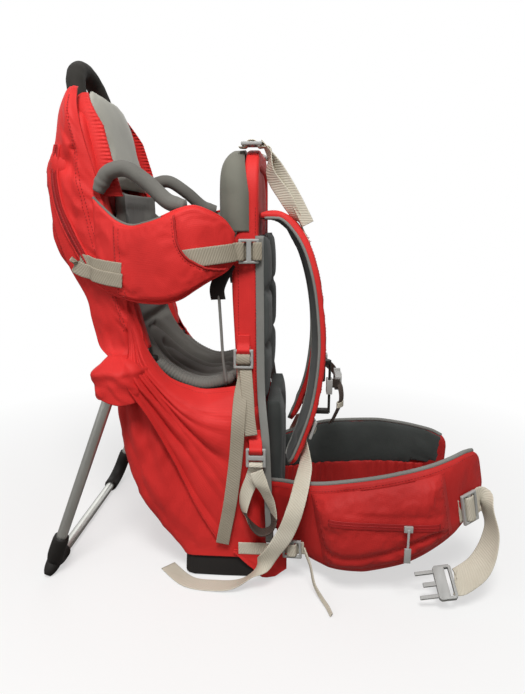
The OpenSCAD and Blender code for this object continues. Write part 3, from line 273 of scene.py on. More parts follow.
# moulded rubber: near black with a soft shine
BLACK_RUBBER = Finish("black_rubber_moulded", "black_rubber", Surface.RUBBER, "#1A1714", "#0E0C0A",
    0.6, 1.1, 0.1)
# turned steel: bright, with fine rings
STEEL = Finish("steel_pin_turned", "steel_pin", Surface.METAL, "#8F8F8C", "#70706D",
    0.3, 0.9, 0.03, metallic=1.0)


def unit(v: Points) -> Points:
    """The vector at length 1."""
    return np.asarray(v, float) / np.linalg.norm(v)


def curve(knots: Knots, n: int) -> Points:
    """Smooth line through knots.

    Args:
        knots: points or values that it passes through.
        n: steps between two knots.
    Returns:
        Points of the line, the last knot among them.
    """
    p = np.asarray(knots, float)
    out = []
    for i in range(len(p) - 1):
        a, b, c, d = p[max(i - 1, 0)], p[i], p[i + 1], p[min(i + 2, len(p) - 1)]
        for k in range(n):
            t = k / n
            out.append(0.5 * (2 * b + (c - a) * t + (2 * a - 5 * b + 4 * c - d) * t * t
                + (3 * b - a - 3 * c + d) * t ** 3))
    return np.array(out + [p[-1]])


def headings(line: Points) -> Points:
    """Direction of a line at each of its points."""
    step = np.gradient(line, axis=0)
    return step / np.maximum(np.linalg.norm(step, axis=1, keepdims=True), 1e-9)


def at_share(line: Points, share: float) -> Points:
    """Point of a line at a share of its count of points."""
    place = min(max(share, 0.0), 1.0) * (len(line) - 1)
    low = min(int(place), len(line) - 2)
    return line[low] + (line[low + 1] - line[low]) * (place - low)


def spaced(line: Points, step: float) -> Points:
    """The line with points at equal distances.

    Args:
        line: points to follow.
        step: distance wanted between them, in mm.
    Returns:
        Points from the first to the last.
    """
    run = np.concatenate([[0], np.cumsum(np.linalg.norm(np.diff(line, axis=0), axis=1))])
    want = np.linspace(0, run[-1], max(2, int(round(run[-1] / step)) + 1))
    return np.stack([np.interp(want, run, line[:, k]) for k in range(line.shape[1])], axis=1)


def even_ring(ring: Points, n: int) -> Points:
    """A closed ring with n points at equal distances from its first point on."""
    loop = np.vstack([ring, ring[:1]])
    run = np.concatenate([[0], np.cumsum(np.linalg.norm(np.diff(loop, axis=0), axis=1))])
    want = np.linspace(0, run[-1], n + 1)[:-1]
    return np.stack([np.interp(want, run, loop[:, k]) for k in range(3)], axis=1)


def rounded(a: float, b: float, n: float, count: int) -> Points:
    """Outline of a rounded box with half sizes a and b and squareness n, in count points."""
    t = np.linspace(0, 2 * pi, count, endpoint=False)
    across, up = (np.sign(w) * np.abs(w) ** (2 / n) for w in (np.cos(t), np.sin(t)))
    return np.stack([a * across, b * up], axis=1)


def box_ring(a: float, b: float, square: float, count: int, n: int) -> Points:
    """Flat outline of a rounded box, drawn with count points and then given n at equal distances."""
    return even_ring(np.c_[rounded(a, b, square, count), np.zeros(count)], n)[:, :2]


def level_ring(mid: float, outline: Points, z: float, n: int) -> Points:
    """An outline laid level at height z about a middle along X, with n points at equal distances."""
    return even_ring(np.stack([mid + outline[:, 0], outline[:, 1], np.full(len(outline), z)], axis=1), n)


def hoop_line(half: Points) -> Points:
    """One half of a hoop in its own plane, with its mirror image joined on."""
    return np.vstack([half, (half * np.array([-1, 1]))[::-1]])


def puff(u: float, v: float, p: float = 4.0) -> float:
    """Crown of a pad: 1 in the middle and 0 on its seam."""
    return sqrt(max(0.0, 1 - abs(2 * u - 1) ** p) * max(0.0, 1 - abs(2 * v - 1) ** p))


def groove(distance: float, width: float) -> float:
    """Dip of a sewn line: 1 on it and 0 away from it."""
    return exp(-(distance / width) ** 2)


def ripple(x: float, y: float, seed: float) -> float:
    """Slow uneven wave between about -1 and 1, the same on every run."""
    return (sin(x * 1.0 + 1.7 * sin(y * 0.7 + seed))
        + sin(y * 1.3 + 1.3 * sin(x * 0.6 + 2 * seed))
        + 0.6 * sin(1.9 * x - 1.4 * y + 3 * seed)) / 2.6


def crumple(x: float, y: float, seed: float) -> float:
    """Creased cloth between -1 and 1: flat facets about one unit wide that meet in sharp folds."""
    x, y = x + 0.35 * sin(1.3 * y + seed), y + 0.35 * sin(1.1 * x + 2 * seed)
    i, j = floor(x), floor(y)
    a, b = x - i, y - j

    def height(p: int, q: int) -> float:
        """Height of one corner, scattered by its place."""
        return 2 * ((sin(p * 127.1 + q * 311.7 + seed * 74.7) * 43758.5) % 1) - 1

    middle = height(i + 1, j) if a > b else height(i, j + 1)
    return (1 - max(a, b)) * height(i, j) + abs(a - b) * middle + min(a, b) * height(i + 1, j + 1)


def ramp(t: float) -> float:
    """The value held between 0 and 1."""
    return min(1.0, max(0.0, t))


def rear_at(z: float) -> float:
    """Place of the rear hoop's axis at height z."""
    return FOOT_X - (z - FOOT_Z) * tan(LEAN)


def even(height: float) -> Height:
    """The same height all over a piece."""
    return lambda u, v: height


def way_at(line: Points, share: float, step: float = 0.012) -> Points:
    """Direction of a line at a share of its way, taken over a step to both sides."""
    return unit(at_share(line, min(1, share + step)) - at_share(line, max(0, share - step)))


def beside(line: Points, share: float, h: float, z: float, step: float = 0.012) -> Points:
    """Point at a share of a line in plan, out from it by h, at height z."""
    p, t = at_share(line, share), way_at(line, share, step)
    return np.array([p[0] - t[1] * h, p[1] + t[0] * h, z])


def row(at: Place, us: Sequence[float], v: float, h: float) -> Points:
    """Points along a sewn piece at one share across and one height."""
    return np.array([at(u, v, h) for u in us])


@dataclass
class Soft:
    """A sewn piece with each vertex's share along, share across and face: 1 outer, -1 inner."""

    obj: Piece
    u: Points
    v: Points
    face: Points


def only(obj: Piece) -> None:
    """Leaves nothing but one object selected and active, in object mode."""
    if bpy.context.object is not None and bpy.context.object.mode != "OBJECT":
        bpy.ops.object.mode_set(mode="OBJECT")
    bpy.ops.object.select_all(action="DESELECT")
    obj.select_set(True)
    bpy.context.view_layer.objects.active = obj


def bake(obj: Piece, kind: str, **settings: object) -> None:
    """Adds a modifier with its settings and applies it."""
    only(obj)
    modifier = obj.modifiers.new(kind.lower(), kind)
    for key, value in settings.items():
        setattr(modifier, key, value)
    bpy.ops.object.modifier_apply(modifier=modifier.name)


def mount(obj: Piece, body: str, finish: Finish, replaces: Sequence[str] = ()) -> Piece:
    """Rides a piece on its body and hides what it stands for.

    Args:
        obj: finished piece.
        body: body that carries it.
        finish: its main finish; not used.
        replaces: nodes that it stands for.
    Returns:
        The same piece.
    """
    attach(obj, body)
    if replaces:
        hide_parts(*replaces)
    log.info("piece %s: %d faces on %s", obj.name, len(obj.data.polygons), body)
    return obj


def linked(mesh: bpy.types.Mesh, finishes: Sequence[Finish]) -> Piece:
    """A new mesh with its normals turned outward, given its finishes and put in the scene as an object."""
    work = bmesh.new()
    work.from_mesh(mesh)
    bmesh.ops.recalc_face_normals(work, faces=work.faces)
    work.to_mesh(mesh)
    work.free()
    for finish in finishes:
        mesh.materials.append(finish.material())
    obj = bpy.data.objects.new(mesh.name, mesh)
    bpy.context.scene.collection.objects.link(obj)
    return obj


def skin(name: str, rings: Points, finishes: Sequence[Finish], joined: bool = False,
        back_from: Optional[int] = None, across: Optional[Points] = None) -> Piece:
    """Closed skin through rings of equal point counts.

    Args:
        name: piece name.
        rings: points in mm, one row per ring.
        finishes: outer finish, and an inner one where there are two.
        joined: whether the last ring meets the first.
        back_from: first column of the inner face.
        across: distance across, in mm, of each column for the pattern.
    Returns:
        The new object, with its pattern laid out in metres.
    """
    rings = np.asarray(rings, float)
    m, n = rings.shape[:2]
    along = np.concatenate([[0], np.cumsum(np.linalg.norm(np.diff(rings, axis=0), axis=2).mean(1))])
    loop = np.concatenate([rings, rings[:, :1]], axis=1)
    round_it = np.concatenate([[0], np.cumsum(np.linalg.norm(np.diff(loop, axis=1), axis=2).mean(0))])
    if across is not None:
        round_it = np.append(across, across[0])
    faces, places, which = [], [], []
    for i in range(m if joined else m - 1):
        k = (i + 1) % m
        far = along[k] if k else along[i] + 5
        for j in range(n):
            q = (j + 1) % n
            faces.append((i * n + j, i * n + q, k * n + q, k * n + j))
            places += [(along[i], round_it[j]), (along[i], round_it[j + 1]),
                (far, round_it[j + 1]), (far, round_it[j])]
            which.append(1 if back_from is not None and back_from <= j < n - 1 else 0)
    if not joined:
        for i in (0, m - 1):
            for j in range(n // 2 - 1):
                corners = (j, j + 1, n - 2 - j, n - 1 - j)
                faces.append(tuple(i * n + c for c in corners))
                places += [(along[i], round_it[c]) for c in corners]
                which.append(0)
    mesh = bpy.data.meshes.new(name)
    mesh.from_pydata([tuple(p) for p in rings.reshape(-1, 3) * MM], [], faces)
    layer = mesh.uv_layers.new(name="weave")
    layer.data.foreach_set("uv", (np.array(places) * MM).astype(np.float32).ravel())
    obj = linked(mesh, finishes)
    mesh.polygons.foreach_set("material_index", np.array(which, np.int32).clip(0, len(finishes) - 1))
    mesh.shade_smooth()
    return obj


def quilt(name: str, at: Place, outer: Height, inner: Height, nu: int, nv: int, finishes: Sequence[Finish]) -> Soft:
    """Pad between an outer and an inner face.

    Args:
        name: piece name.
        at: point in mm for a share along, a share across and a height outward.
        outer: height of the outer face.
        inner: depth of the inner face, below the middle.
        nu: steps along.
        nv: steps across.
        finishes: outer finish, and an inner one where there are two.
    Returns:
        The pad, with its layout.
    """
    shares = np.linspace(0, 1, nv + 1)
    shares = 0.55 * shares + 0.45 * (0.5 - 0.5 * np.cos(np.pi * shares))
    rings, layout = [], []
    for i in range(nu + 1):
        u = i / nu
        rings.append([at(u, v, max(0.4, outer(u, v))) for v in shares]
            + [at(u, v, -max(0.4, inner(u, v))) for v in shares[::-1]])
        layout += [(u, v, 1) for v in shares] + [(u, v, -1) for v in shares[::-1]]
    obj = skin(name, np.array(rings), finishes, back_from=nv + 1)
    grid = np.array(layout)
    return Soft(obj, grid[:, 0], grid[:, 1], grid[:, 2])


def settle(obj: Piece, hold: Points, pressure: float, grow: float, cap: float) -> None:
    """Lets cloth swell and buckle between its seams, then keeps the result.

    Args:
        obj: piece whose mesh is final but for its creases.
        hold: 1 where a seam holds a vertex, 0 where it is free.
        pressure: push of the filling.
        grow: share of spare cloth, which becomes creases.
        cap: furthest that a vertex may move, in mm.
    """
    mesh, frames = obj.data, 14
    rest = np.empty(len(mesh.vertices) * 3)
    mesh.vertices.foreach_get("co", rest)
    group = obj.vertex_groups.new(name="seams")
    for index, weight in enumerate(hold):
        group.add([index], float(weight), "REPLACE")
    modifier = obj.modifiers.new("settle", "CLOTH")
    cloth = modifier.settings
    for key, value in {"quality": 5, "mass": 0.2, "air_damping": 2.0, "tension_stiffness": 12,
            "compression_stiffness": 12, "shear_stiffness": 4, "bending_stiffness": 0.04,
            "vertex_group_mass": group.name, "use_pressure": True, "uniform_pressure_force": pressure,
            "shrink_min": -grow}.items():
        setattr(cloth, key, value)
    cloth.effector_weights.gravity = 0
    modifier.collision_settings.use_collision = False
    modifier.point_cache.frame_start, modifier.point_cache.frame_end = 1, frames
    scene = bpy.context.scene
    for step in range(1, frames + 1):
        scene.frame_set(step)
    shown = obj.evaluated_get(bpy.context.evaluated_depsgraph_get()).to_mesh()
    moved = np.empty(len(mesh.vertices) * 3)
    shown.vertices.foreach_get("co", moved)
    obj.modifiers.remove(modifier)
    obj.vertex_groups.remove(group)
    scene.frame_set(1)
    shift = (moved - rest).reshape(-1, 3)
    far = np.linalg.norm(shift, axis=1, keepdims=True)
    shift *= np.minimum(1, cap * MM / np.maximum(far, 1e-9))
    mesh.vertices.foreach_set("co", (rest + shift.ravel()))
    mesh.update()


def ribbon(name: str, line: Points, across: Points, width: float, finish: Finish,
        thick: float = WEB_THICK) -> Piece:
    """Flat webbing along a line.

    Args:
        name: piece name.
        line: middle of the webbing, in mm.
        across: way its width lies, for each point.
        width: its width in mm.
        finish: its finish.
        thick: its thickness in mm.
    Returns:
        The webbing.
    """
    t = headings(line)
    a = across - (across * t).sum(1, keepdims=True) * t
    a /= np.linalg.norm(a, axis=1, keepdims=True)
    n = np.cross(t, a)
    # a thin selvedge, a raised edge and a flat middle, as shares of half the width and half the thickness
    half = [(1, 0.3), (0.95, 0.9), (0.8, 1), (0.4, 0.9), (0, 0.9), (-0.4, 0.9), (-0.8, 1), (-0.95, 0.9), (-1, 0.3)]
    section = half + [(p, -q) for p, q in half[::-1]]
    rings = [[line[i] + a[i] * width / 2 * p + n[i] * thick / 2 * q for p, q in section]
        for i in range(len(line))]
    flat = np.array([(p + 1) * width / 2 for p, _ in section])
    return skin(name, np.array(rings), [finish], across=flat)


def tube(name: str, line: Points, radius: Callable[[float], float], finish: Finish,
        sides: int) -> Piece:
    """Round piece along a line.

    Args:
        name: piece name.
        line: its axis in mm.
        radius: its radius at a share of the way.
        finish: its finish.
        sides: points round it.
    Returns:
        The tube.
    """
    t = headings(line)
    a = np.cross(t[0], (0, 1, 0) if abs(t[0][1]) < 0.9 else (1, 0, 0))
    rings = []
    for i, p in enumerate(line):
        a = unit(a - (a @ t[i]) * t[i])
        b = np.cross(t[i], a)
        r = radius(i / (len(line) - 1))
        rings.append([p + r * (a * cos(w) + b * sin(w))
            for w in np.linspace(0, 2 * pi, sides, endpoint=False)])
    return skin(name, np.array(rings), [finish])


def merged(name: str, pieces: Sequence[Piece]) -> Piece:
    """Several loose pieces made one object."""
    only(pieces[0])
    for piece in pieces[1:]:
        piece.select_set(True)
    bpy.ops.object.join()
    pieces[0].name = name
    return pieces[0]


def seated(obj: Piece, line: Points, lift: float) -> tuple[Points, Points]:
    """Lays a line on a piece's surface.

    Args:
        obj: piece that carries it.
        line: points near the surface, in mm.
        lift: how far it stands off, in mm.
    Returns:
        Points in mm, and the surface's normals there.
    """
    mesh = obj.data
    tree = BVHTree.FromPolygons([v.co for v in mesh.vertices], [p.vertices for p in mesh.polygons])
    found = [tree.find_nearest(Vector(p) * MM) for p in line]
    spots = np.array([f[0] for f in found]) / MM
    normals = np.array([f[1] for f in found])
    return spots + normals * lift, normals


def stitches(name: str, obj: Piece, lines: Sequence[Points], body: str = "pack",
        pitch: float = 4.6, length: float = 3.1) -> None:
    """Rows of thread on a piece's surface, each stitch a low bar that dips at its ends.

    Args:
        name: piece name.
        obj: piece that is sewn.
        lines: seam lines near its surface, in mm.
        body: body that carries it.
        pitch: distance from stitch to stitch.
        length: length of a stitch.
    """
    width, corners, faces = 0.9, [], []
    for line in lines:
        spots, normals = seated(obj, spaced(np.asarray(line, float), pitch), 0.15)
        for i in range(len(spots) - 1):
            way = unit(spots[i + 1] - spots[i])
            side = np.cross(normals[i], way)
            base = len(corners)
            for share, rise in ((0, -0.4), (0.5, 0.45), (1, -0.4)):
                mid = spots[i] + way * length * share + normals[i] * rise
                corners += [mid + side * width / 2, mid + normals[i] * width * 0.4,
                    mid - side * width / 2, mid - normals[i] * width * 0.4]
            for k in (0, 4):
                faces += [tuple(base + k + c for c in (j, (j + 1) % 4, (j + 1) % 4 + 4, j + 4))
                    for j in range(4)]
            faces += [(base, base + 1, base + 2, base + 3), (base + 11, base + 10, base + 9, base + 8)]
    mesh = bpy.data.meshes.new(name)
    mesh.from_pydata([tuple(p * MM) for p in corners], [], faces)
    mount(linked(mesh, [RED_THREAD]), body, RED_THREAD)


def welt(name: str, obj: Piece, line: Points, radius: float, finish: Finish,
        body: str = "pack") -> None:
    """Piping sewn along a line on a piece's surface."""
    spots, _ = seated(obj, spaced(np.asarray(line, float), 4.0), radius * 0.35)
    made = tube(name, spots, lambda s: radius, finish, sides=8)
    mount(made, body, finish)


def zip_tape(name: str, obj: Piece, line: Points, body: str, lift: float,
        coil: tuple[float, float], limit: float = 1e6) -> tuple[Points, Points]:
    """Coil zip on a piece's surface: a woven tape with a raised coil down its middle.

    Args:
        name: piece name.
        obj: piece that it is let into.
        line: its way near the surface, in mm.
        body: body that carries it.
        lift: how far the tape stands off.
        coil: rise of the coil above the tape and its radius.
        limit: furthest that the tape may lie from the middle plane.
    Returns:
        Points of the tape's middle and the way across it.
    """
    spots, normals = seated(obj, spaced(line, 4.0), lift)
    for _ in range(3):
        spots[1:-1] = (spots[:-2] + spots[1:-1] * 2 + spots[2:]) / 4
    spots[:, 1] = np.clip(spots[:, 1], -limit, limit)
    across = np.cross(headings(spots), normals)
    fine = spaced(spots + normals * coil[0], 1.1)

    def bead(s: float) -> float:
        """Radius of the coil, which swells at every turn."""
        return coil[1] * (1 + 0.28 * sin(s * len(fine) * pi / 1.5))

    teeth = tube("coil", fine, bead, RED_ZIP, sides=8)
    mount(merged(name, [ribbon("tape", spots, across, 11, RED_ZIP, 1.1), teeth]), body, RED_ZIP)
    return spots, across


def dress(node: str, finish: Finish) -> None:
    """Gives a bare node its finish."""
    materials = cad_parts[node].data.materials
    materials.clear()
    materials.append(finish.material())


def softened(node: str, finish: Finish, width: float, body: str = "pack") -> None:
    """A moulded node copied, cleaned and given rounded edges.

    Args:
        node: node to stand for.
        finish: its finish.
        width: size of the rounding in mm.
        body: body that carries it.
    """
    obj = bpy.data.objects.new(node + "_moulded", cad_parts[node].data.copy())
    bpy.context.scene.collection.objects.link(obj)
    obj.data.materials.clear()
    obj.data.materials.append(finish.material())
    only(obj)
    bpy.ops.object.mode_set(mode="EDIT")
    bpy.ops.mesh.select_all(action="SELECT")
    bpy.ops.mesh.remove_doubles(threshold=2e-5)
    bpy.ops.mesh.dissolve_limited(angle_limit=radians(1.5))
    bpy.ops.object.mode_set(mode="OBJECT")
    bake(obj, "BEVEL", width=width * MM, segments=3, limit_method="ANGLE", angle_limit=radians(35))
    only(obj)
    bpy.ops.object.shade_smooth_by_angle(angle=radians(40))
    mount(obj, body, finish, [node])


def ladder_lock(name: str, web: float, at: Points, way: Sequence[float],
        out: Sequence[float]) -> Piece:
    """Ladder lock: a plate with two slots, its bars rounded, set across a webbing.

    Args:
        name: piece name.
        web: width of the webbing in mm.
        at: its middle in mm.
        way: direction of the webbing.
        out: direction of its face.
    Returns:
        The lock.
    """
    rim, slot, bar, inner = LOCK_RIM, LOCK_SLOT, LOCK_BAR, web + 1.2
    xs = np.cumsum([-(bar / 2 + slot + rim), rim, slot, bar, slot, rim])
    ys = np.array([-inner / 2 - rim, -inner / 2, inner / 2, inner / 2 + rim])
    bpy.ops.object.select_all(action="DESELECT")
    bpy.ops.mesh.primitive_grid_add(x_subdivisions=5, y_subdivisions=3, size=1)
    obj = bpy.context.object
    obj.name = obj.data.name = name
    for v in obj.data.vertices:
        v.co = (xs[round((v.co.x + 0.5) * 5)] * MM, ys[round((v.co.y + 0.5) * 3)] * MM, 0)
    only(obj)
    bpy.ops.object.mode_set(mode="EDIT")
    bpy.ops.mesh.select_mode(type="FACE")
    bpy.ops.mesh.select_all(action="DESELECT")
    bpy.ops.object.mode_set(mode="OBJECT")
    for face in obj.data.polygons:
        mid = face.center
        face.select = abs(mid.y) < inner / 2 * MM and bar / 2 * MM < abs(mid.x) < (bar / 2 + slot) * MM
    bpy.ops.object.mode_set(mode="EDIT")
    bpy.ops.mesh.delete(type="FACE")
    bpy.ops.mesh.select_mode(type="VERT")
    bpy.ops.object.mode_set(mode="OBJECT")
    bake(obj, "SOLIDIFY", thickness=LOCK_THICK * MM, offset=0)
    bake(obj, "BEVEL", width=1.5 * MM, segments=3, limit_method="ANGLE", angle_limit=radians(40))
    x = unit(np.array(way, float))
    z = unit(np.array(out, float) - (np.array(out, float) @ x) * x)
    y = np.cross(z, x)
    at = np.array(at, float) * MM
    obj.data.transform(Matrix([[x[k], y[k], z[k], at[k]] for k in range(3)] + [[0, 0, 0, 1]]))
    only(obj)
    bpy.ops.object.shade_smooth_by_angle(angle=radians(40))
    obj.data.materials.append(GREY_ACETAL.material())
    return obj


def mirrored(points: Points, side: Side) -> Points:
    """Points of the left side put on a side."""
    return np.asarray(points, float) * np.array([1, side.value, 1])


def threaded(at: Sequence[float], way: Sequence[float], out: Sequence[float]) -> Points:
    """Route of webbing over the middle bar of a ladder lock, in mm."""
    x = unit(np.array(way, float))
    z = unit(np.array(out, float) - (np.array(out, float) @ x) * x)
    rise, reach = LOCK_RISE, (LOCK_BAR + LOCK_SLOT) / 2
    steps = [(-reach - 11, -rise), (-reach - 1.8, -rise), (-reach + 1.8, rise),
        (reach - 1.8, rise), (reach + 1.8, -rise), (reach + 11, -rise)]
    return np.array([np.array(at, float) + p * x + q * z for p, q in steps])


class Hold(Enum):
    """What stays still while a sewn piece swells."""

    BACK = "its inner face"
    RIM = "its edge"
    BOTH = "its inner face and its edge"


def cushion(name: str, at: Place, outer: Height, inner: Height, grid: tuple[int, int], finishes: Sequence[Finish],
        nodes: Sequence[str] = (), body: str = "pack", hold: Hold = Hold.BACK,
        swell: Optional[tuple[float, float, float]] = None) -> Piece:
    """Sewn pad or panel: made, swelled and put on its body.

    Args:
        name: piece name.
        at: point in mm for a share along, a share across and a height outward.
        outer: height of the outer face.
        inner: depth of the inner face.
        grid: steps along and across.
        finishes: outer finish, and an inner one where there are two.
        nodes: nodes that it stands for.
        body: body that carries it.
        hold: what stays still while it swells.
        swell: pressure, spare cloth and furthest move in mm.
    Returns:
        The piece.
    """
    soft = quilt(name, at, outer, inner, *grid, finishes)
    if swell is not None:
        edge = np.minimum.reduce([soft.u, 1 - soft.u, soft.v, 1 - soft.v]) < 0.04
        back = soft.face < 0
        held = {Hold.BACK: back, Hold.RIM: edge, Hold.BOTH: back | edge}[hold]
        settle(soft.obj, held.astype(float), *swell)
    mount(soft.obj, body, finishes[0], nodes)
    return soft.obj


def strap(name: str, knots: Knots, turns: Sequence, width: float, finish: Finish, side: Side,
        nodes: Sequence[str] = (), body: str = "pack", thick: float = WEB_THICK) -> Piece:
    """Webbing of one side along knots.

    Args:
        name: piece name.
        knots: its way on the left side, in mm.
        turns: the way its width lies, for all knots or for each.
        width: its width in mm.
        finish: its finish.
        side: side that it belongs to.
        nodes: nodes that it stands for.
        body: body that carries it.
        thick: its thickness in mm.
    Returns:
        The webbing.
    """
    line = curve(knots, 8)
    across = curve(turns, 8) if np.ndim(turns) == 2 else np.tile(np.asarray(turns, float), (len(line), 1))
    made = ribbon(side.of(name), mirrored(line, side), mirrored(across, side), width, finish, thick)
    return mount(made, body, finish, nodes)


def side_lock(name: str, web: float, at: Sequence[float], way: Sequence[float], out: Sequence[float],
        side: Side, nodes: Sequence[str] = ()) -> None:
    """Ladder lock of one side, given as it lies on the left side."""
    made = ladder_lock(side.of(name), web, mirrored(at, side), mirrored(way, side), mirrored(out, side))
    mount(made, "pack", GREY_ACETAL, nodes)


@dataclass(frozen=True)
class Lamp:
    """A square soft lamp: its place and size in metres, and its watts."""

    name: str
    place: tuple[float, float, float]
    size: float
    watts: float


@dataclass
class Studio:
    """Camera at the photograph's place, a pale floor and soft light."""

    focal_px: float = 545
    frame_px: float = 694
    camera_at: tuple[float, float, float] = (0.105, -0.888, 0.540)
    pitch: float = radians(13)
    yaw: float = radians(4)
    look_at: tuple[float, float, float] = (0, 0, 0.35)
    world_light: float = 0.27
    lamps: tuple[Lamp, ...] = (Lamp("key", (0.1, -1.2, 1.95), 0.6, 34), Lamp("fill", (-1.9, -1.9, 1.2), 1.6, 12),
        Lamp("back", (-0.6, 2.2, 2.0), 1.6, 8))

    def build(self) -> None:
        """Makes the camera, floor, lamps and world."""
        scene = bpy.context.scene
        scene.view_settings.view_transform = "Standard"
        lens = bpy.data.cameras.new("camera")
        lens.sensor_width = 36
        lens.lens = lens.sensor_width * self.focal_px / self.frame_px
        lens.clip_start = 0.05
        camera = bpy.data.objects.new("camera", lens)
        camera.location = self.camera_at
        level = cos(self.pitch)
        look = Vector((-sin(self.yaw) * level, cos(self.yaw) * level, -sin(self.pitch)))
        camera.rotation_euler = look.to_track_quat("-Z", "Y").to_euler()
        scene.collection.objects.link(camera)
        scene.camera = camera
        self._floor()
        for lamp in self.lamps:
            self._hang(lamp)
        self._world()

    def _floor(self) -> None:
        """Lays a wide pale floor that keeps the object's shadow."""
        bpy.ops.mesh.primitive_plane_add(size=60)
        ground = bpy.context.object
        ground.name = "floor"
        # rolled paint: flat white that keeps soft shadows and no highlight
        paint = bpy.data.materials.new("matt_white_paint_rolled")
        paint.use_nodes = True
        tree = paint.node_tree
        shader = tree.nodes["Principled BSDF"]
        shader.inputs["Roughness"].default_value = 0.9
        shader.inputs["Specular IOR Level"].default_value = 0.1
        path = add(tree, "LightPath", {})
        # the floor throws back less light than it shows, so the undersides stay dark
        tone = add(tree, "Mix",
            {0: path.outputs["Is Camera Ray"], 6: linear("#8C8B88"), 7: linear("#F2F1EF")}, data_type="RGBA")
        tree.links.new(tone.outputs[2], shader.inputs["Base Color"])
        place = add(tree, "TexCoord", {})
        away = add(tree, "VectorMath", {0: place.outputs["Object"]}, operation="LENGTH")
        fade = add(tree, "MapRange", {0: away.outputs[1], 1: 0.35, 2: 1.0, 3: 0.55, 4: 1.0})
        share = add(tree, "Math", {0: path.outputs["Is Camera Ray"], 1: fade.outputs[0]},
            operation="MULTIPLY")
        glow = add(tree, "Emission", {"Color": (1, 1, 1, 1), "Strength": 1.0})
        mixed = add(tree, "MixShader", {0: share.outputs[0], 1: shader.outputs[0], 2: glow.outputs[0]})
        tree.links.new(mixed.outputs[0], tree.nodes["Material Output"].inputs["Surface"])
        ground.data.materials.append(paint)

    def _hang(self, lamp: Lamp) -> None:
        """Hangs one soft lamp that looks at the pack's middle."""
        light = bpy.data.lights.new(lamp.name, "AREA")
        light.size = lamp.size
        light.energy = lamp.watts
        obj = bpy.data.objects.new(lamp.name, light)
        obj.location = lamp.place
        obj.rotation_euler = (Vector(self.look_at) - Vector(lamp.place)).to_track_quat("-Z", "Y").to_euler()
        bpy.context.scene.collection.objects.link(obj)

    def _world(self) -> None:
        """White behind the object, a plain level of light on it."""
        world = bpy.data.worlds.new("studio")
        bpy.context.scene.world = world
        world.use_nodes = True
        tree = world.node_tree
        back = tree.nodes["Background"]
        back.inputs["Color"].default_value = (1, 1, 1, 1)
        path = add(tree, "LightPath", {})
        seen = add(tree, "Math", {0: path.outputs["Is Camera Ray"], 1: path.outputs["Is Glossy Ray"]},
            operation="MAXIMUM")
        more = add(tree, "Math", {0: seen.outputs[0], 1: path.outputs["Is Transmission Ray"]},
            operation="MAXIMUM")
        level = add(tree, "MapRange", {0: more.outputs[0], 3: self.world_light, 4: 1.0})
        tree.links.new(level.outputs[0], back.inputs["Strength"])


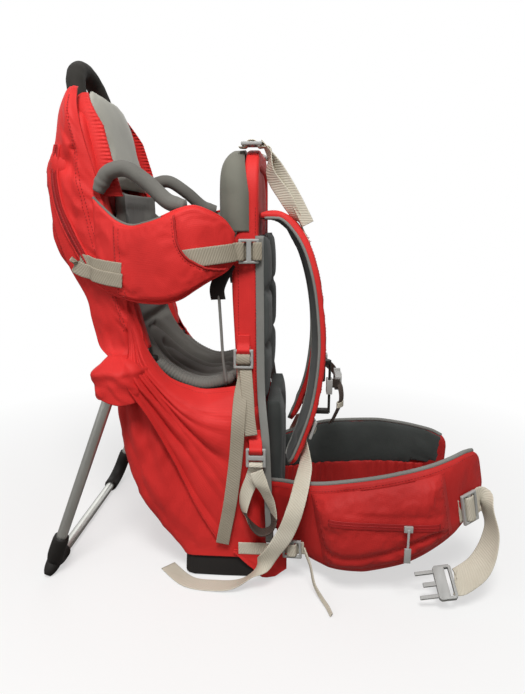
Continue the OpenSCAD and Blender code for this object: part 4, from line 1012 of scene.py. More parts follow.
@dataclass
class TubeFrame:
    """Hoops, hubs, struts, handle and kickstand."""

    handle_base: float = 657 / cos(LEAN)
    handle_r: float = 58
    grip_r: float = 13.5
    stand_slope: float = radians(21.4)
    stand_half: float = 158
    stand_bend: float = 34
    pivot_x: float = -155
    pivot_z: float = 325

    def on_plane(self, y: float, h: float, out: float = 0.0) -> Points:
        """Point on the leaning rear plane, out from it by a distance."""
        return np.array([FOOT_X - h * sin(LEAN) + out * cos(LEAN), y,
            FOOT_Z + h * cos(LEAN) + out * sin(LEAN)])

    def build(self) -> None:
        """Dresses the bare parts and makes the grip and the feet."""
        for node in ("front_hoop", "rear_hoop", "base_crossbars", "side_struts", "handle_rod", "kickstand_bail"):
            dress(node, ALUMINIUM)
        dress("pivot_pins", STEEL)
        for node in ("base_hubs", "handle_clamps", "pivot_brackets"):
            softened(node, BLACK_NYLON, 1.2)
        self.grip()
        self.feet()

    def grip(self) -> None:
        """Foam hoop, a little fuller in the middle, with turned-in ends."""
        start = self.handle_base + 8 + 14 + 4
        line = [self.on_plane(self.handle_r * cos(w), start + self.handle_r * sin(w))
            for w in np.linspace(0, pi, 72)]
        line = [self.on_plane(self.handle_r, start - 6)] + line + [self.on_plane(-self.handle_r, start - 6)]

        def radius(s: float) -> float:
            """Radius of the grip at a share of its way."""
            end = min(s, 1 - s)
            lip = 0.86 if end < 0.012 else 1.0
            return self.grip_r * lip * (1 + 0.012 * sin(s * 57) + 0.02 * sin(s * pi))

        made = tube("handle_foam_grip", np.array(line), radius, BLACK_FOAM, sides=24)
        mount(made, "pack", BLACK_FOAM, ["handle_grip"])

    def feet(self) -> None:
        """Rubber boots on the bail's corners: a cuff, a pointed toe and a ground face."""
        slope, bend, half = self.stand_slope, self.stand_bend, self.stand_half
        length = (self.pivot_z - 8 - 4) / cos(slope)
        y0, h0 = half - bend, length - bend

        def at(y: float, h: float) -> Points:
            """Point in the bail's plane at a distance down from its pivot."""
            return np.array([self.pivot_x - h * sin(slope), y, self.pivot_z - h * cos(slope)])

        def boot(s: float) -> float:
            """Radius of a boot, a little less at its cuffs."""
            cuff = 0.7 if s < 0.03 or s > 0.98 else 0.0
            return 12.0 - cuff + 0.5 * sin(s * pi)

        def toe(s: float) -> float:
            """Radius of a toe, which ends in a blunt point."""
            return 11.5 * sqrt(max(0.03, 1 - 0.82 * s ** 2.2))

        boots = []
        for side in Side:
            y = side.value
            line = [at(half * y, h0 - 24), at(half * y, h0 - 10)]
            line += [at((y0 + bend * cos(w)) * y, h0 + bend * sin(w))
                for w in np.linspace(0, pi / 2, 18)]
            line += [at((y0 - 12) * y, length)]
            boots.append(tube("boot", spaced(np.array(line), 2.5), boot, BLACK_RUBBER, sides=22))
            mid = at((y0 + bend * sqrt(0.5)) * y, h0 + bend * sqrt(0.5))
            tip = at((y0 + bend * 0.7071 + 19) * y, h0 + bend * 0.7071 + 19)
            axis = np.array([mid + (tip - mid) * k for k in np.linspace(0.1, 1, 14)])
            boots.append(tube("toe", axis, toe, BLACK_RUBBER, sides=22))
        made = merged("kickstand_rubber_boots", boots)
        points = np.array([v.co for v in made.data.vertices])
        points[:, 2] = np.maximum(points[:, 2], 0.0002)
        made.data.vertices.foreach_set("co", points.ravel())
        mount(made, "kickstand", BLACK_RUBBER, ["kickstand_feet"])


@dataclass
class LowerBody:
    """Red skirt round the frame, the black base and the cloth over the pivots."""

    levels: Knots = ((32, 56.3, -75.3, 141.3, 10), (50, 56.3, -87.3, 141.3, 10), (110, 53.6, -134, 143, 8),
        (178, 50.6, -162, 143, 7), (232, 50.6, -174, 143, 7), (258, 50.6, -174, 139, 7),
        (268, 48.6, -170, 128, 8))
    # rails of the side panel from its lower rear edge to the leg roll: it hangs in a fan from the pivot
    rails: Sequence[Knots] = (
        ((-146, 117, 432), (-141, 140, 362), (-138, 175, 324), (-109, 161, 262), (-78, 148, 190), (-48, 145, 118),
         (-14, 144.6, 58)),
        ((-147, 117, 434), (-136, 132, 367), (-124, 162, 330), (-98, 152, 284), (-64, 146, 236), (-30, 145, 190),
         (2, 144.6, 150)),
        ((-148, 116.5, 437), (-134, 125, 375), (-119, 142, 338), (-94, 143, 302), (-62, 143, 272), (-30, 142.5, 256),
         (8, 142, 252)),
        ((-150, 115.5, 440), (-131, 115.5, 384), (-113, 114.5, 343), (-90, 112, 313), (-62, 105, 298), (-34, 100, 291),
         (10, 101, 297)))
    # its folds: share across, width as a share and depth in mm
    folds: Knots = ((0.09, 0.035, 6), (0.21, 0.03, 9), (0.33, 0.035, 8), (0.46, 0.03, 10), (0.58, 0.03, 7),
        (0.70, 0.035, 6))

    @staticmethod
    def climb(x: float) -> float:
        """How far the top edge rises toward the rear."""
        return 30 * ramp((-x - 30) / 130) ** 1.3

    def build(self) -> None:
        """Makes the skirt, the covers, the side panels, the loose corners and the base."""
        self.skirt()
        for side in Side:
            self.cover(side)
            self.side_panel(side)
            self.corner(side)
        dress("base_tray", BLACK_CLOTH)

    def skirt(self) -> None:
        """Cloth with long slanting folds, sewn to the base and to the seat's edge."""
        rows = curve(self.levels, 8)
        count, rings, top = 300, [], len(rows) - 1
        for k, (z, front, rear, half, square) in enumerate(rows):
            ring = level_ring((front + rear) / 2, rounded((front - rear) / 2, half, square, 720), z, count)
            share = max(0.0, (k / top * 6 - 3) / 3)
            way = headings(np.vstack([ring[-1:], ring, ring[:1]]))[1:-1]
            free = max(0.0, min(1, (z - 42) / 40) * min(1, (276 - z) / 16))
            for j, (x, y, _) in enumerate(ring.copy()):
                ring[j] += np.array([way[j, 1], -way[j, 0], 0]) * self.fold(x, y, z) * free
                ring[j, 2] += share * self.climb(x)
            rings.append(ring)
        inner = [r.copy() for r in rings[::-1]]
        for r in inner:
            flat = r[:, :2] - r.mean(0)[:2]
            r[:, :2] -= flat * 2.4 / np.maximum(np.linalg.norm(flat, axis=1, keepdims=True), 1)
        obj = skin("lower_body_skirt", np.array(rings + inner), [RED_CLOTH], joined=True)
        mount(obj, "pack", RED_CLOTH, ["lower_body"])

    @staticmethod
    def fold(x: float, y: float, z: float) -> float:
        """Height of the skirt's creases at a place, and how far it gives way under the side panel."""
        edge = float(np.interp(z, (58, 118, 190, 262, 322), (-14, -48, -78, -106, -129)))
        front = float(np.interp(z, (58, 150, 252), (-14, 2, 8)))
        under = ramp((x - edge - 4) / 14) * ramp((front - 4 - x) / 14) * ramp((abs(y) - 120) / 12)
        crease = 5 * crumple((0.86 * x + 0.51 * z) / 17, (0.86 * z - 0.51 * x) / 60 + y / 50, 0.8)
        fine = 1.6 * crumple(x / 11 + y / 20, z / 17, 0.3)
        return (crease * (x < 30) + fine) * (1 - under) - 13 * under

    def cover(self, side: Side) -> None:
        """Bunched cloth round a kickstand pivot, tied in above and open below."""
        plan = curve([[-113, 113.5], [-116, 138], [-128, 164.5], [-153, 173.5], [-177, 165.5], [-184, 150]], 12)

        def at(u: float, v: float, h: float) -> Points:
            """Point of the cloth round the pivot, gathered toward its top."""
            p = at_share(plan, u)
            way = way_at(plan, u, 0.02)
            out = np.array([way[1], -way[0]])
            low = 288 + 7 * (1 - u) + 5 * sin(u * 9)
            z = low + (353 - low) * v
            crease = 7.0 * crumple(u * 7 + v, v * 3.6 - u, 2.2) + 1.8 * crumple(u * 13, v * 8, 1.2)
            p = p + out * (h + max(1.2, 1.5 + 2.5 * sin(pi * v) + crease))
            p = p + (np.array([-158, 128]) - p) * 0.62 * ramp((z - 332) / 21) ** 1.3
            return mirrored([p[0], p[1], z], side)

        cushion(side.of("pivot_cloth"), at, even(1.2), even(1.0), (60, 26), [RED_CLOTH], ["pivot_covers"])

    def side_panel(self, side: Side) -> None:
        """Red cloth that hangs in long folds from the pivot and the leg roll over the skirt's side."""
        rails = [curve(r, 8) for r in self.rails]

        def at(u: float, v: float, h: float) -> Points:
            """Point of the panel between its rails, with its folds."""
            p = at_share(curve([at_share(r, u) for r in rails], 8), v)
            out = 1.5 + 2.6 * crumple(u * 9 + 2 * v, v * 9, 0.7)
            for k, (place, width, depth) in enumerate(self.folds):
                d = v - place - 0.02 * sin(u * 7 + 1.9 * k)
                fall = exp(-abs(d) / (width if d > 0 else 2 * width))
                out -= depth * (0.75 + 0.25 * sin(u * 9 + 2.3 * k)) * fall
            out *= ramp((u - 0.1) / 0.25) * ramp((1.03 - u) / 0.12) * ramp(v / 0.05) * ramp((1 - v) / 0.1)
            return mirrored(p + np.array([0, 0.95, 0.25]) * (h + out), side)

        obj = cushion(side.of("body_side_panel"), at, even(1.2), even(1.0), (72, 64), [RED_CLOTH])
        seams = [row(at, np.linspace(0.3, 0.98, 60), v, 6) for v in (0.03, 0.95)]
        stitches(side.of("body_panel_stitches"), obj, seams)

    def corner(self, side: Side) -> None:
        """Loose front corner of the body's cloth that hangs over the tray's end."""

        def at(u: float, v: float, h: float) -> Points:
            """Point of the corner from its upper edge down to its hem."""
            x = 8 + 82 * u
            high = 47 + 9 * ramp((u - 0.45) / 0.3) - 16 * ramp((u - 0.7) / 0.3)
            hem = 44 - 40 * ramp((x - 6) / 46) + 9 * ramp((u - 0.8) / 0.2)
            z = high + (hem - high) * v
            y = float(np.interp(z, (4, 14, 26, 34), (148.6, 146.4, 144.4, 144))) - 9 * ramp((x - 50) / 40)
            crease = 2.6 * crumple(u * 5 + v, v * 2.2 - u, 1.7) * ramp(v / 0.3)
            return mirrored([x, y + h + max(-0.6, crease), z], side)

        cushion(side.of("body_corner_cloth"), at, even(1.2), even(0.6), (44, 22), [RED_CLOTH])


@dataclass
class BackPanel:
    """Front hoop's sleeve, the board in it, the face pad and the wearer's pads."""

    front_x: float = 34
    half_w: float = 100
    top_z: float = 628
    bend_r: float = 46

    def build(self) -> None:
        """Makes every piece of the panel."""
        self.sleeve()
        self.board()
        self.face_pad()
        for side in Side:
            self.back_pad(side)
            self.binding(side)
        self.lumbar()

    def sleeve(self) -> None:
        """Red cloth round the front hoop, deeper below the face pad."""
        c = self.half_w - self.bend_r
        right = [(-self.half_w, z) for z in np.linspace(262, self.top_z - self.bend_r, 60)]
        arc = [(-c - self.bend_r * cos(w), self.top_z - self.bend_r + self.bend_r * sin(w))
            for w in np.linspace(0, pi / 2, 14)[1:]]
        line = hoop_line(np.array(right + arc))
        way = headings(line)
        rings = []
        for (y, z), (dy, dz) in zip(line, way):
            flange = 14 * ramp((545 - z) / 40) + 3 * sin(z / 60)
            box = box_ring(11 + flange / 2, 12.3, 5, 200, 36)
            out = np.array([0, dz, -dy]) * (-1)
            ring = []
            for p, q in box:
                crease = 0.5 * ripple(z / 11, p / 6 + y / 50, 0.4)
                ring.append(np.array([self.front_x - flange / 2 + p, y, z]) + out * (q + np.sign(q) * crease * 0.6))
            rings.append(ring)
        obj = skin("front_hoop_sleeve", np.array(rings), [RED_CLOTH])
        mount(obj, "pack", RED_CLOTH, ["front_sleeve"])
        seams = [np.array([[x, s * 113, z] for z in np.linspace(z0, z1, 40)])
            for s in (-1, 1) for x, z0, z1 in ((16, 300, 520), (41, 290, 560))]
        stitches("front_sleeve_stitches", obj, seams)

    def board(self) -> None:
        """Board between the tubes, covered in red cloth, its middle a little hollow."""
        half, low, high = 87.7, 272, 615.7

        def at(u: float, v: float, h: float) -> Points:
            """Point of the board, narrower toward its top."""
            z = low + (high - low) * v
            y = (2 * u - 1) * half * (1 - 0.35 * max(0, (z - 560) / 56) ** 2)
            return np.array([self.front_x + h, y, z])

        # painted shade: the board's cover takes the shaded red copy of the cloth
        cushion("panel_board_cover", at,
            lambda u, v: 10.7 * (0.55 + 0.45 * puff(u, v, 10)) - 1.5 * groove((u - 0.5) * 170, 16),
            lambda u, v: 10.7 * (0.5 + 0.5 * puff(u, v, 10)), (30, 46), [RED_SHADE], ["front_board"])

    def face_pad(self) -> None:
        """Grey pad before the child: a thick slab with rounded shoulders whose sides lap over the sleeve."""
        low, high = 526, 640

        def at(u: float, v: float, h: float) -> Points:
            """Point of the pad, with round shoulders and lapped sides."""
            z = low + (high - low) * v
            lift = max(0.0, min(0.995, (z - 580) / 60))
            half = 54 + 60 * sqrt(1 - lift ** 2)
            w = 2 * u - 1
            lap = 9 * ramp((abs(w) - 0.88) / 0.08) * ramp((0.95 - v) / 0.5)
            return np.array([22.7 + lap - h, w * half, z])

        def outer(u: float, v: float) -> float:
            """Thickness of the pad, less at its top and sides."""
            rise = (1 - max(0, (v - 0.45) / 0.55) ** 4.0 * 0.55)
            edge = 0.72 + 0.28 * sqrt(max(0, 1 - abs(2 * u - 1) ** 6))
            return 34 * rise * edge * (1 - 0.1 * max(0, 0.15 - v) / 0.15)

        cushion("face_pad_cushion", at, outer, even(0.3), (40, 30), [FACE_PAD], ["face_pad"],
            swell=(1.2, 0.012, 2.5))

    def back_pad(self, side: Side) -> None:
        """One of the two grey pads at the wearer's back, with two sewn lines across."""

        def at(u: float, v: float, h: float) -> Points:
            """Point of the pad before the board."""
            z = 274 + 246 * v
            y = 67 + (2 * u - 1) * 41 * (1 - 0.16 * abs(2 * v - 1) ** 5)
            return mirrored([45.4 + h, y, z], side)

        def outer(u: float, v: float) -> float:
            """Thickness of the pad between its sewn lines."""
            dips = sum(groove((v - at_v) * 246, 7) for at_v in (0.34, 0.68))
            return 18 * (0.3 + 0.7 * puff(u, v, 3.2)) - 4.5 * dips * puff(u, v, 8)

        cushion(side.of("back_cushion"), at, outer, even(0.1), (18, 52), [BACK_PAD],
            [side.of("back_pad")], swell=(0.8, 0.015, 2.0))

    def binding(self, side: Side) -> None:
        """Grey binding down the panel's front edge to the base."""
        strap("panel_binding", [[46.5, 112.4, 520], [47, 112.6, 460], [47.5, 113, 402], [48, 115, 350],
            [49.5, 121, 296], [53, 133, 262], [57.5, 142, 222], [60.5, 145, 160], [63, 146, 104], [64, 144.5, 62]],
            [1.0, 0.12, 0.12], 12, GREY_BINDING, side, thick=3.2)

    def lumbar(self) -> None:
        """Dark pad at the small of the back with a stitched oval and a hollow middle."""

        def at(u: float, v: float, h: float) -> Points:
            """Point of the pad on the body's front."""
            z = 48 + 218 * v
            y = (2 * u - 1) * 91.8 * (1 - 0.10 * abs(2 * v - 1) ** 6)
            return np.array([56.8 + h, y, z])

        def outer(u: float, v: float) -> float:
            """Thickness of the pad with its oval and its hollow."""
            ring = groove((hypot((u - 0.5) / 0.36, (v - 0.5) / 0.4) - 1) * 60, 6)
            hollow = 5 * groove((u - 0.5) * 180, 24)
            return 26 * (0.66 + 0.34 * puff(u, v, 5)) - 4 * ring - hollow

        cushion("lumbar_cushion", at, outer, even(0.0), (40, 46), [DARK_PAD], ["lumbar_pad"])


@dataclass
class ChildSeat:
    """Rear hoop's sleeve, headrest, seat sling and the rolls round the leg openings."""

    tubes: TubeFrame
    seat_line: Points = field(default_factory=lambda: curve(
        [[-165, 0, 580], [-163, 0, 500], [-158, 0, 430], [-142, 0, 372], [-112, 0, 326], [-74, 0, 299],
         [-36, 0, 291], [19, 0, 306]], 16))

    def build(self) -> None:
        """Makes every piece of the seat."""
        self.sleeve()
        self.headrest()
        self.sling()
        for side in Side:
            self.headrest_gusset(side)
            self.leg_roll(side)

    def sleeve(self) -> None:
        """Red cloth round the rear hoop, with a neck round each foot of the handle."""
        base, r = self.tubes.handle_base, 30.0
        low = (352 - FOOT_Z) / cos(LEAN)
        leg = [(-100, h) for h in np.linspace(low, base - r, 64)]
        arc = [(-100 + r - r * cos(w), base - r + r * sin(w))
            for w in np.linspace(0, pi / 2, 12)[1:]]
        line = hoop_line(np.array(leg + arc))
        way = headings(line)
        rings = []
        for (y, h), (dy, dh) in zip(line, way):
            out = np.array([-dh, dy])
            full = ramp((h - 560) / 60)
            box = box_ring(12 + 3.5 * full, 12.5 + 2.5 * full, 3.4, 160, 32)
            ring = []
            for p, q in box:
                crease = 0.7 * ripple(h / 12, p / 7 + y / 40, 1.9)
                ring.append(self.tubes.on_plane(y + out[0] * (q + crease), h + out[1] * (q + crease), p))
            rings.append(ring)
        sleeve = skin("rear_hoop_sleeve", np.array(rings), [RED_CLOTH])
        necks = []
        # height and two half widths of a neck
        rows = curve([(0, 20, 17), (8, 20, 17), (18, 18.5, 16), (26, 16.5, 15), (31, 14.6, 14.4),
            (32.5, 14.1, 14.1)], 5)
        for s in (-1, 1):
            necks.append(skin("neck", np.array([
                [self.tubes.on_plane(self.tubes.handle_r * s + b * cos(w), base + h, a * sin(w))
                 for w in np.linspace(0, 2 * pi, 28, endpoint=False)] for h, b, a in rows]), [RED_CLOTH]))
        obj = merged("rear_hoop_sleeve", [sleeve] + necks)
        mount(obj, "pack", RED_CLOTH, ["rear_sleeve"])

    @staticmethod
    def headrest_half(z: float) -> float:
        """Half width of the headrest at a height."""
        v = (z - 588) / 135
        return 102 - 22 * v * v - 26 * max(0, (v - 0.72) / 0.28) ** 2

    def headrest(self) -> None:
        """Pale pad with rounded shoulders that leans with the hoop."""

        def at(u: float, v: float, h: float) -> Points:
            """Point of the pad on the leaning hoop."""
            z = 588 + 135 * v
            return np.array([rear_at(z) + 16 + 3.8 * v * v + h, (2 * u - 1) * self.headrest_half(z), z])

        cushion("headrest_cushion", at, lambda u, v: 14 * (0.2 + 0.8 * puff(u, v, 3.4)), even(0.2), (44, 32),
            [PALE_PAD], ["headrest_pad"], swell=(1.0, 0.012, 2.5))

    def headrest_gusset(self, side: Side) -> None:
        """Red wall beside the headrest, which lies back between the two, with a ruched elastic edge."""

        def at(u: float, v: float, h: float) -> Points:
            """Point of the wall, from the hoop forward to its ruched edge."""
            z = 574 + 146 * u
            half = self.headrest_half(max(588, z)) + 3
            ruche = 1.1 * sin(z * 2 * pi / 5.2) + 0.6 * ripple(z / 4, v, 0.3)
            ruche *= max(0, (v - 0.55) / 0.45)
            depth = 37 - 5 * u - 18 * ramp((u - 0.66) / 0.34)
            x = rear_at(z) + 2 + depth * v + 3 * u
            return mirrored([x, half + h + ruche + 2.5 * sin(pi * v), z], side)

        cushion(side.of("headrest_gusset"), at,
            lambda u, v: 1.8 * (0.3 + 0.7 * puff(u, v, 6)) + 1.3 * groove((v - 0.9) * 30, 3.5),
            even(1.6), (116, 14), [RED_CLOTH])

    @staticmethod
    def half_width(s: float) -> float:
        """Half width of the sling along its way."""
        return 84 * (1 - 0.1 * max(0, (s - 0.55) / 0.45) ** 1.2)

    def frame_at(self, s: float) -> tuple[Points, Points]:
        """Middle point of the sling and the way up from it."""
        t = way_at(self.seat_line, s, 0.01)
        return at_share(self.seat_line, s), np.array([-t[2], 0, t[0]])

    def sling(self) -> None:
        """Seat with a sewn line across the back and two U-shaped channels."""

        def at(u: float, v: float, h: float) -> Points:
            """Point of the sling, whose edges rise."""
            p, up = self.frame_at(u)
            w = 2 * v - 1
            return p + np.array([0, w * self.half_width(u), 0]) + up * (h - 7 + 10 * abs(w) ** 3)

        def outer(u: float, v: float) -> float:
            """Thickness of the sling with its sewn lines."""
            w = abs(2 * v - 1)
            reach = hypot(w / 0.58, max(0, 0.62 - u) / 0.2) if u < 0.62 else w / 0.58
            lines = groove((u - 0.40) * 420, 7) + groove((reach - 1) * 46, 5.5) * (u > 0.42)
            lines += groove((reach - 0.45) * 46, 5) * (u > 0.5) + groove((u - 0.93) * 420, 6) * (w < 0.6)
            lines += groove((u - 0.2) * 420, 6) * 0.6
            return 10.4 * (0.8 + 0.2 * puff(u, v, 6)) + 1.5 - 9.5 * min(1, lines) * puff(u, v, 10)

        cushion("seat_sling_cushion", at, outer, lambda u, v: 16 * (0.7 + 0.3 * puff(u, v, 6)) - 8.5, (110, 64),
            [GREY_PAD], ["seat_pad"], hold=Hold.BOTH, swell=(0.4, 0.012, 1.5))

    def leg_roll(self, side: Side) -> None:
        """Gathered grey roll along a leg opening: fine ribs from the elastic inside."""
        step, rib, line = 1.25, 5.0, []
        for s in np.linspace(0.56, 0.96, 60):
            p, up = self.frame_at(s)
            line.append(p + np.array([0, self.half_width(s) + 9.5, 0]) + up * (10 - 16 / 3))
        line = spaced(np.array(line), step)

        def radius(s: float) -> float:
            """Radius of the roll, ribbed and drawn in at its ends."""
            ribs = 1 + 0.055 * sin(s * len(line) * step * 2 * pi / rib)
            return 9 * ribs * (0.6 + 0.4 * min(1, min(s, 1 - s) / 0.06))

        made = tube(side.of("leg_roll"), mirrored(line, side), radius, GREY_PAD, sides=20)
        mount(made, "pack", GREY_PAD, ["leg_rolls"])


@dataclass
class SideWings:
    """Red wings beside the child, the rolls above them and the straps that tie them."""

    line: Points = field(default_factory=lambda: curve(
        [[rear_at(560) - 4, 119.3], [-140, 133.3], [-82, 151.3], [-30, 145.3], [13, 123.3]], 16))
    high: Points = field(default_factory=lambda: curve(
        [[572], [558], [541], [534], [538], [545], [554], [559], [553], [541], [521]], 12))
    deep: Points = field(default_factory=lambda: curve(
        [[452], [443], [436], [431], [430], [431], [437], [450], [462], [473], [488]], 12))

    def top(self, s: float) -> float:
        """Upper edge of a wing."""
        return float(at_share(self.high, s)[0])

    def low(self, s: float) -> float:
        """Lower edge of a wing."""
        return float(at_share(self.deep, s)[0])

    @staticmethod
    def half(s: float, v: float) -> float:
        """Half thickness of a wing at a share of its way forward and of its height."""
        return 7 * (0.1 + 0.9 * puff(s, v, 4.5))

    def at(self, s: float, h: float, z: float) -> Points:
        """Point at a share of the wing's way forward, out from its middle by h."""
        return beside(self.line, s, h, z, 0.01)

    def build(self) -> None:
        """Makes both wings with their rolls, straps and locks."""
        for side in Side:
            self.wing(side)
            self.flap(side)
            self.roll(side)
            self.straps(side)

    def wing(self, side: Side) -> None:
        """Padded wing, red outside and grey inside, with a piped edge."""

        def at(u: float, v: float, h: float) -> Points:
            """Point of the wing between its edges."""
            return mirrored(self.at(u, h, self.low(u) + (self.top(u) - self.low(u)) * v), side)

        obj = cushion(side.of("wing_cushion"), at, self.half, self.half, (64, 28), [RED_CLOTH, GREY_PAD],
            [side.of("side_wing")], hold=Hold.RIM, swell=(0.7, 0.014, 1.6))
        for name, v, start, end, finish in (("top_lining", 1, 0.0, 0.5, GREY_PAD),
                ("top_piping", 1, 0.5, 1, RED_CLOTH), ("low_piping", 0, 0.0, 1, RED_CLOTH)):
            welt(side.of(f"wing_{name}"), obj, row(at, np.linspace(start, end, 50), v, -1.5 * v), 2.2, finish)

    def flap(self, side: Side) -> None:
        """Outer panel over the wing, cut to a curve in front, that the front strap comes out of."""

        def at(u: float, v: float, h: float) -> Points:
            """Point of the flap on the wing's outer face, lifted where the strap comes out."""
            v = 0.03 + 0.94 * v
            s = 0.2 + (0.385 + 0.36 * (1 - v) ** 3) * u
            lift = 2.6 + 3.6 * max(0, (u - 0.4) / 0.6) * groove(v - 0.46, 0.32)
            z = self.low(s) + (self.top(s) - self.low(s)) * v
            return mirrored(self.at(s, self.half(s, v) + lift + h, z), side)

        obj = cushion(side.of("wing_flap"), at, even(1.1), even(0.5), (36, 28), [RED_CLOTH],
            hold=Hold.RIM, swell=(0.3, 0.012, 1.4))
        vs = np.linspace(0.02, 0.98, 44)
        seams = [np.array([at(u, v, 4) for v in vs]) for u in (0.02, 0.1, 0.96)]
        stitches(side.of("wing_stitches"), obj, seams)
        # painted shade: the flap's piping takes the shaded red copy of the cloth
        welt(side.of("flap_piping"), obj, np.array([at(1.0, v, 1.5) for v in vs]), 1.7, RED_SHADE)

    def roll(self, side: Side) -> None:
        """Padded roll from the headrest to the wing, with pinched ends."""
        knots = [[-178, 119, 580], [-170, 120, 594], [-158, 123.3, 606], [-134, 125.3, 609], [-104, 129.3, 590],
            [-76, 135.3, 566], [-52, 139.3, 560]]

        def radius(s: float) -> float:
            """Radius of the roll, pinched at its ends and wrinkled behind."""
            ends = 0.72 + 0.28 * min(1, min(s, 1 - s) / 0.08)
            return 10.9 * ends * (1 + 0.03 * sin(s * 90) * max(0, 1 - s * 3))

        line = mirrored(spaced(curve(knots, 12), 2.0), side)
        made = tube(side.of("wing_roll"), line, radius, GREY_PAD, sides=24)
        mount(made, "pack", GREY_PAD, ["wing_rolls"])

    def straps(self, side: Side) -> None:
        """Front strap to its lock, the folded tie to the bag and the black strap to the seat."""
        lock_at, way, inward = np.array([32, 122, 499.0]), np.array([0.95, -0.3, 0]), np.array([-0.3, -0.95, 0])
        front = [self.at(s, h, z) for s, h, z in ((0.52, 8.2, 487), (0.6, 8.8, 489), (0.70, 10.4, 492),
            (0.82, 10, 495), (0.91, 9.8, 497), (0.96, 8.8, 498))]
        strap("wing_strap", np.vstack([front, threaded(lock_at, way, inward)]), [0, 0, 1], 25, TAUPE_WEB, side,
            ["wing_webs"])
        strap("wing_tie", [[-212, 117, 483], [-199, 121, 481], self.at(0.0, 9, 478), self.at(0.08, 9.6, 476),
            self.at(0.16, 11, 474), self.at(0.25, 11.4, 472)], [0, 0, 1], 24, TAUPE_WEB, side)
        strap("wing_tie_fold", [[-216, 116, 484], [-219, 119.5, 478], [-208, 121.5, 472], [-196, 124.5, 469],
            self.at(0.02, 11.6, 466), self.at(0.14, 13, 462), self.at(0.26, 13.6, 459)], [0, 0, 1],
            20, TAUPE_WEB, side)
        side_lock("wing_lock", 25, lock_at, way, -inward, side, ["wing_locks"])
        strap("wing_tab", [[44, 112.6, 499], [45, 117, 499], [42.5, 120.5, 499], [38, 121.4, 499]], [0, 0, 1], 24,
            TAUPE_WEB, side)
        strap("seat_strap", [[4, 121, 484], [-6, 118, 466], [-14, 116, 446], [-13, 114, 430]], [1, 0.3, 0.3], 23,
            BLACK_CLOTH, side)
        line = spaced(curve([[-12, 114, 436], [-10, 112, 390], [-8, 109, 340], [-4, 106, 304]], 10), 3)
        cord = tube(side.of("seat_elastic"), mirrored(line, side), lambda s: 2.2, GREY_BINDING, sides=8)
        mount(cord, "pack", GREY_BINDING)


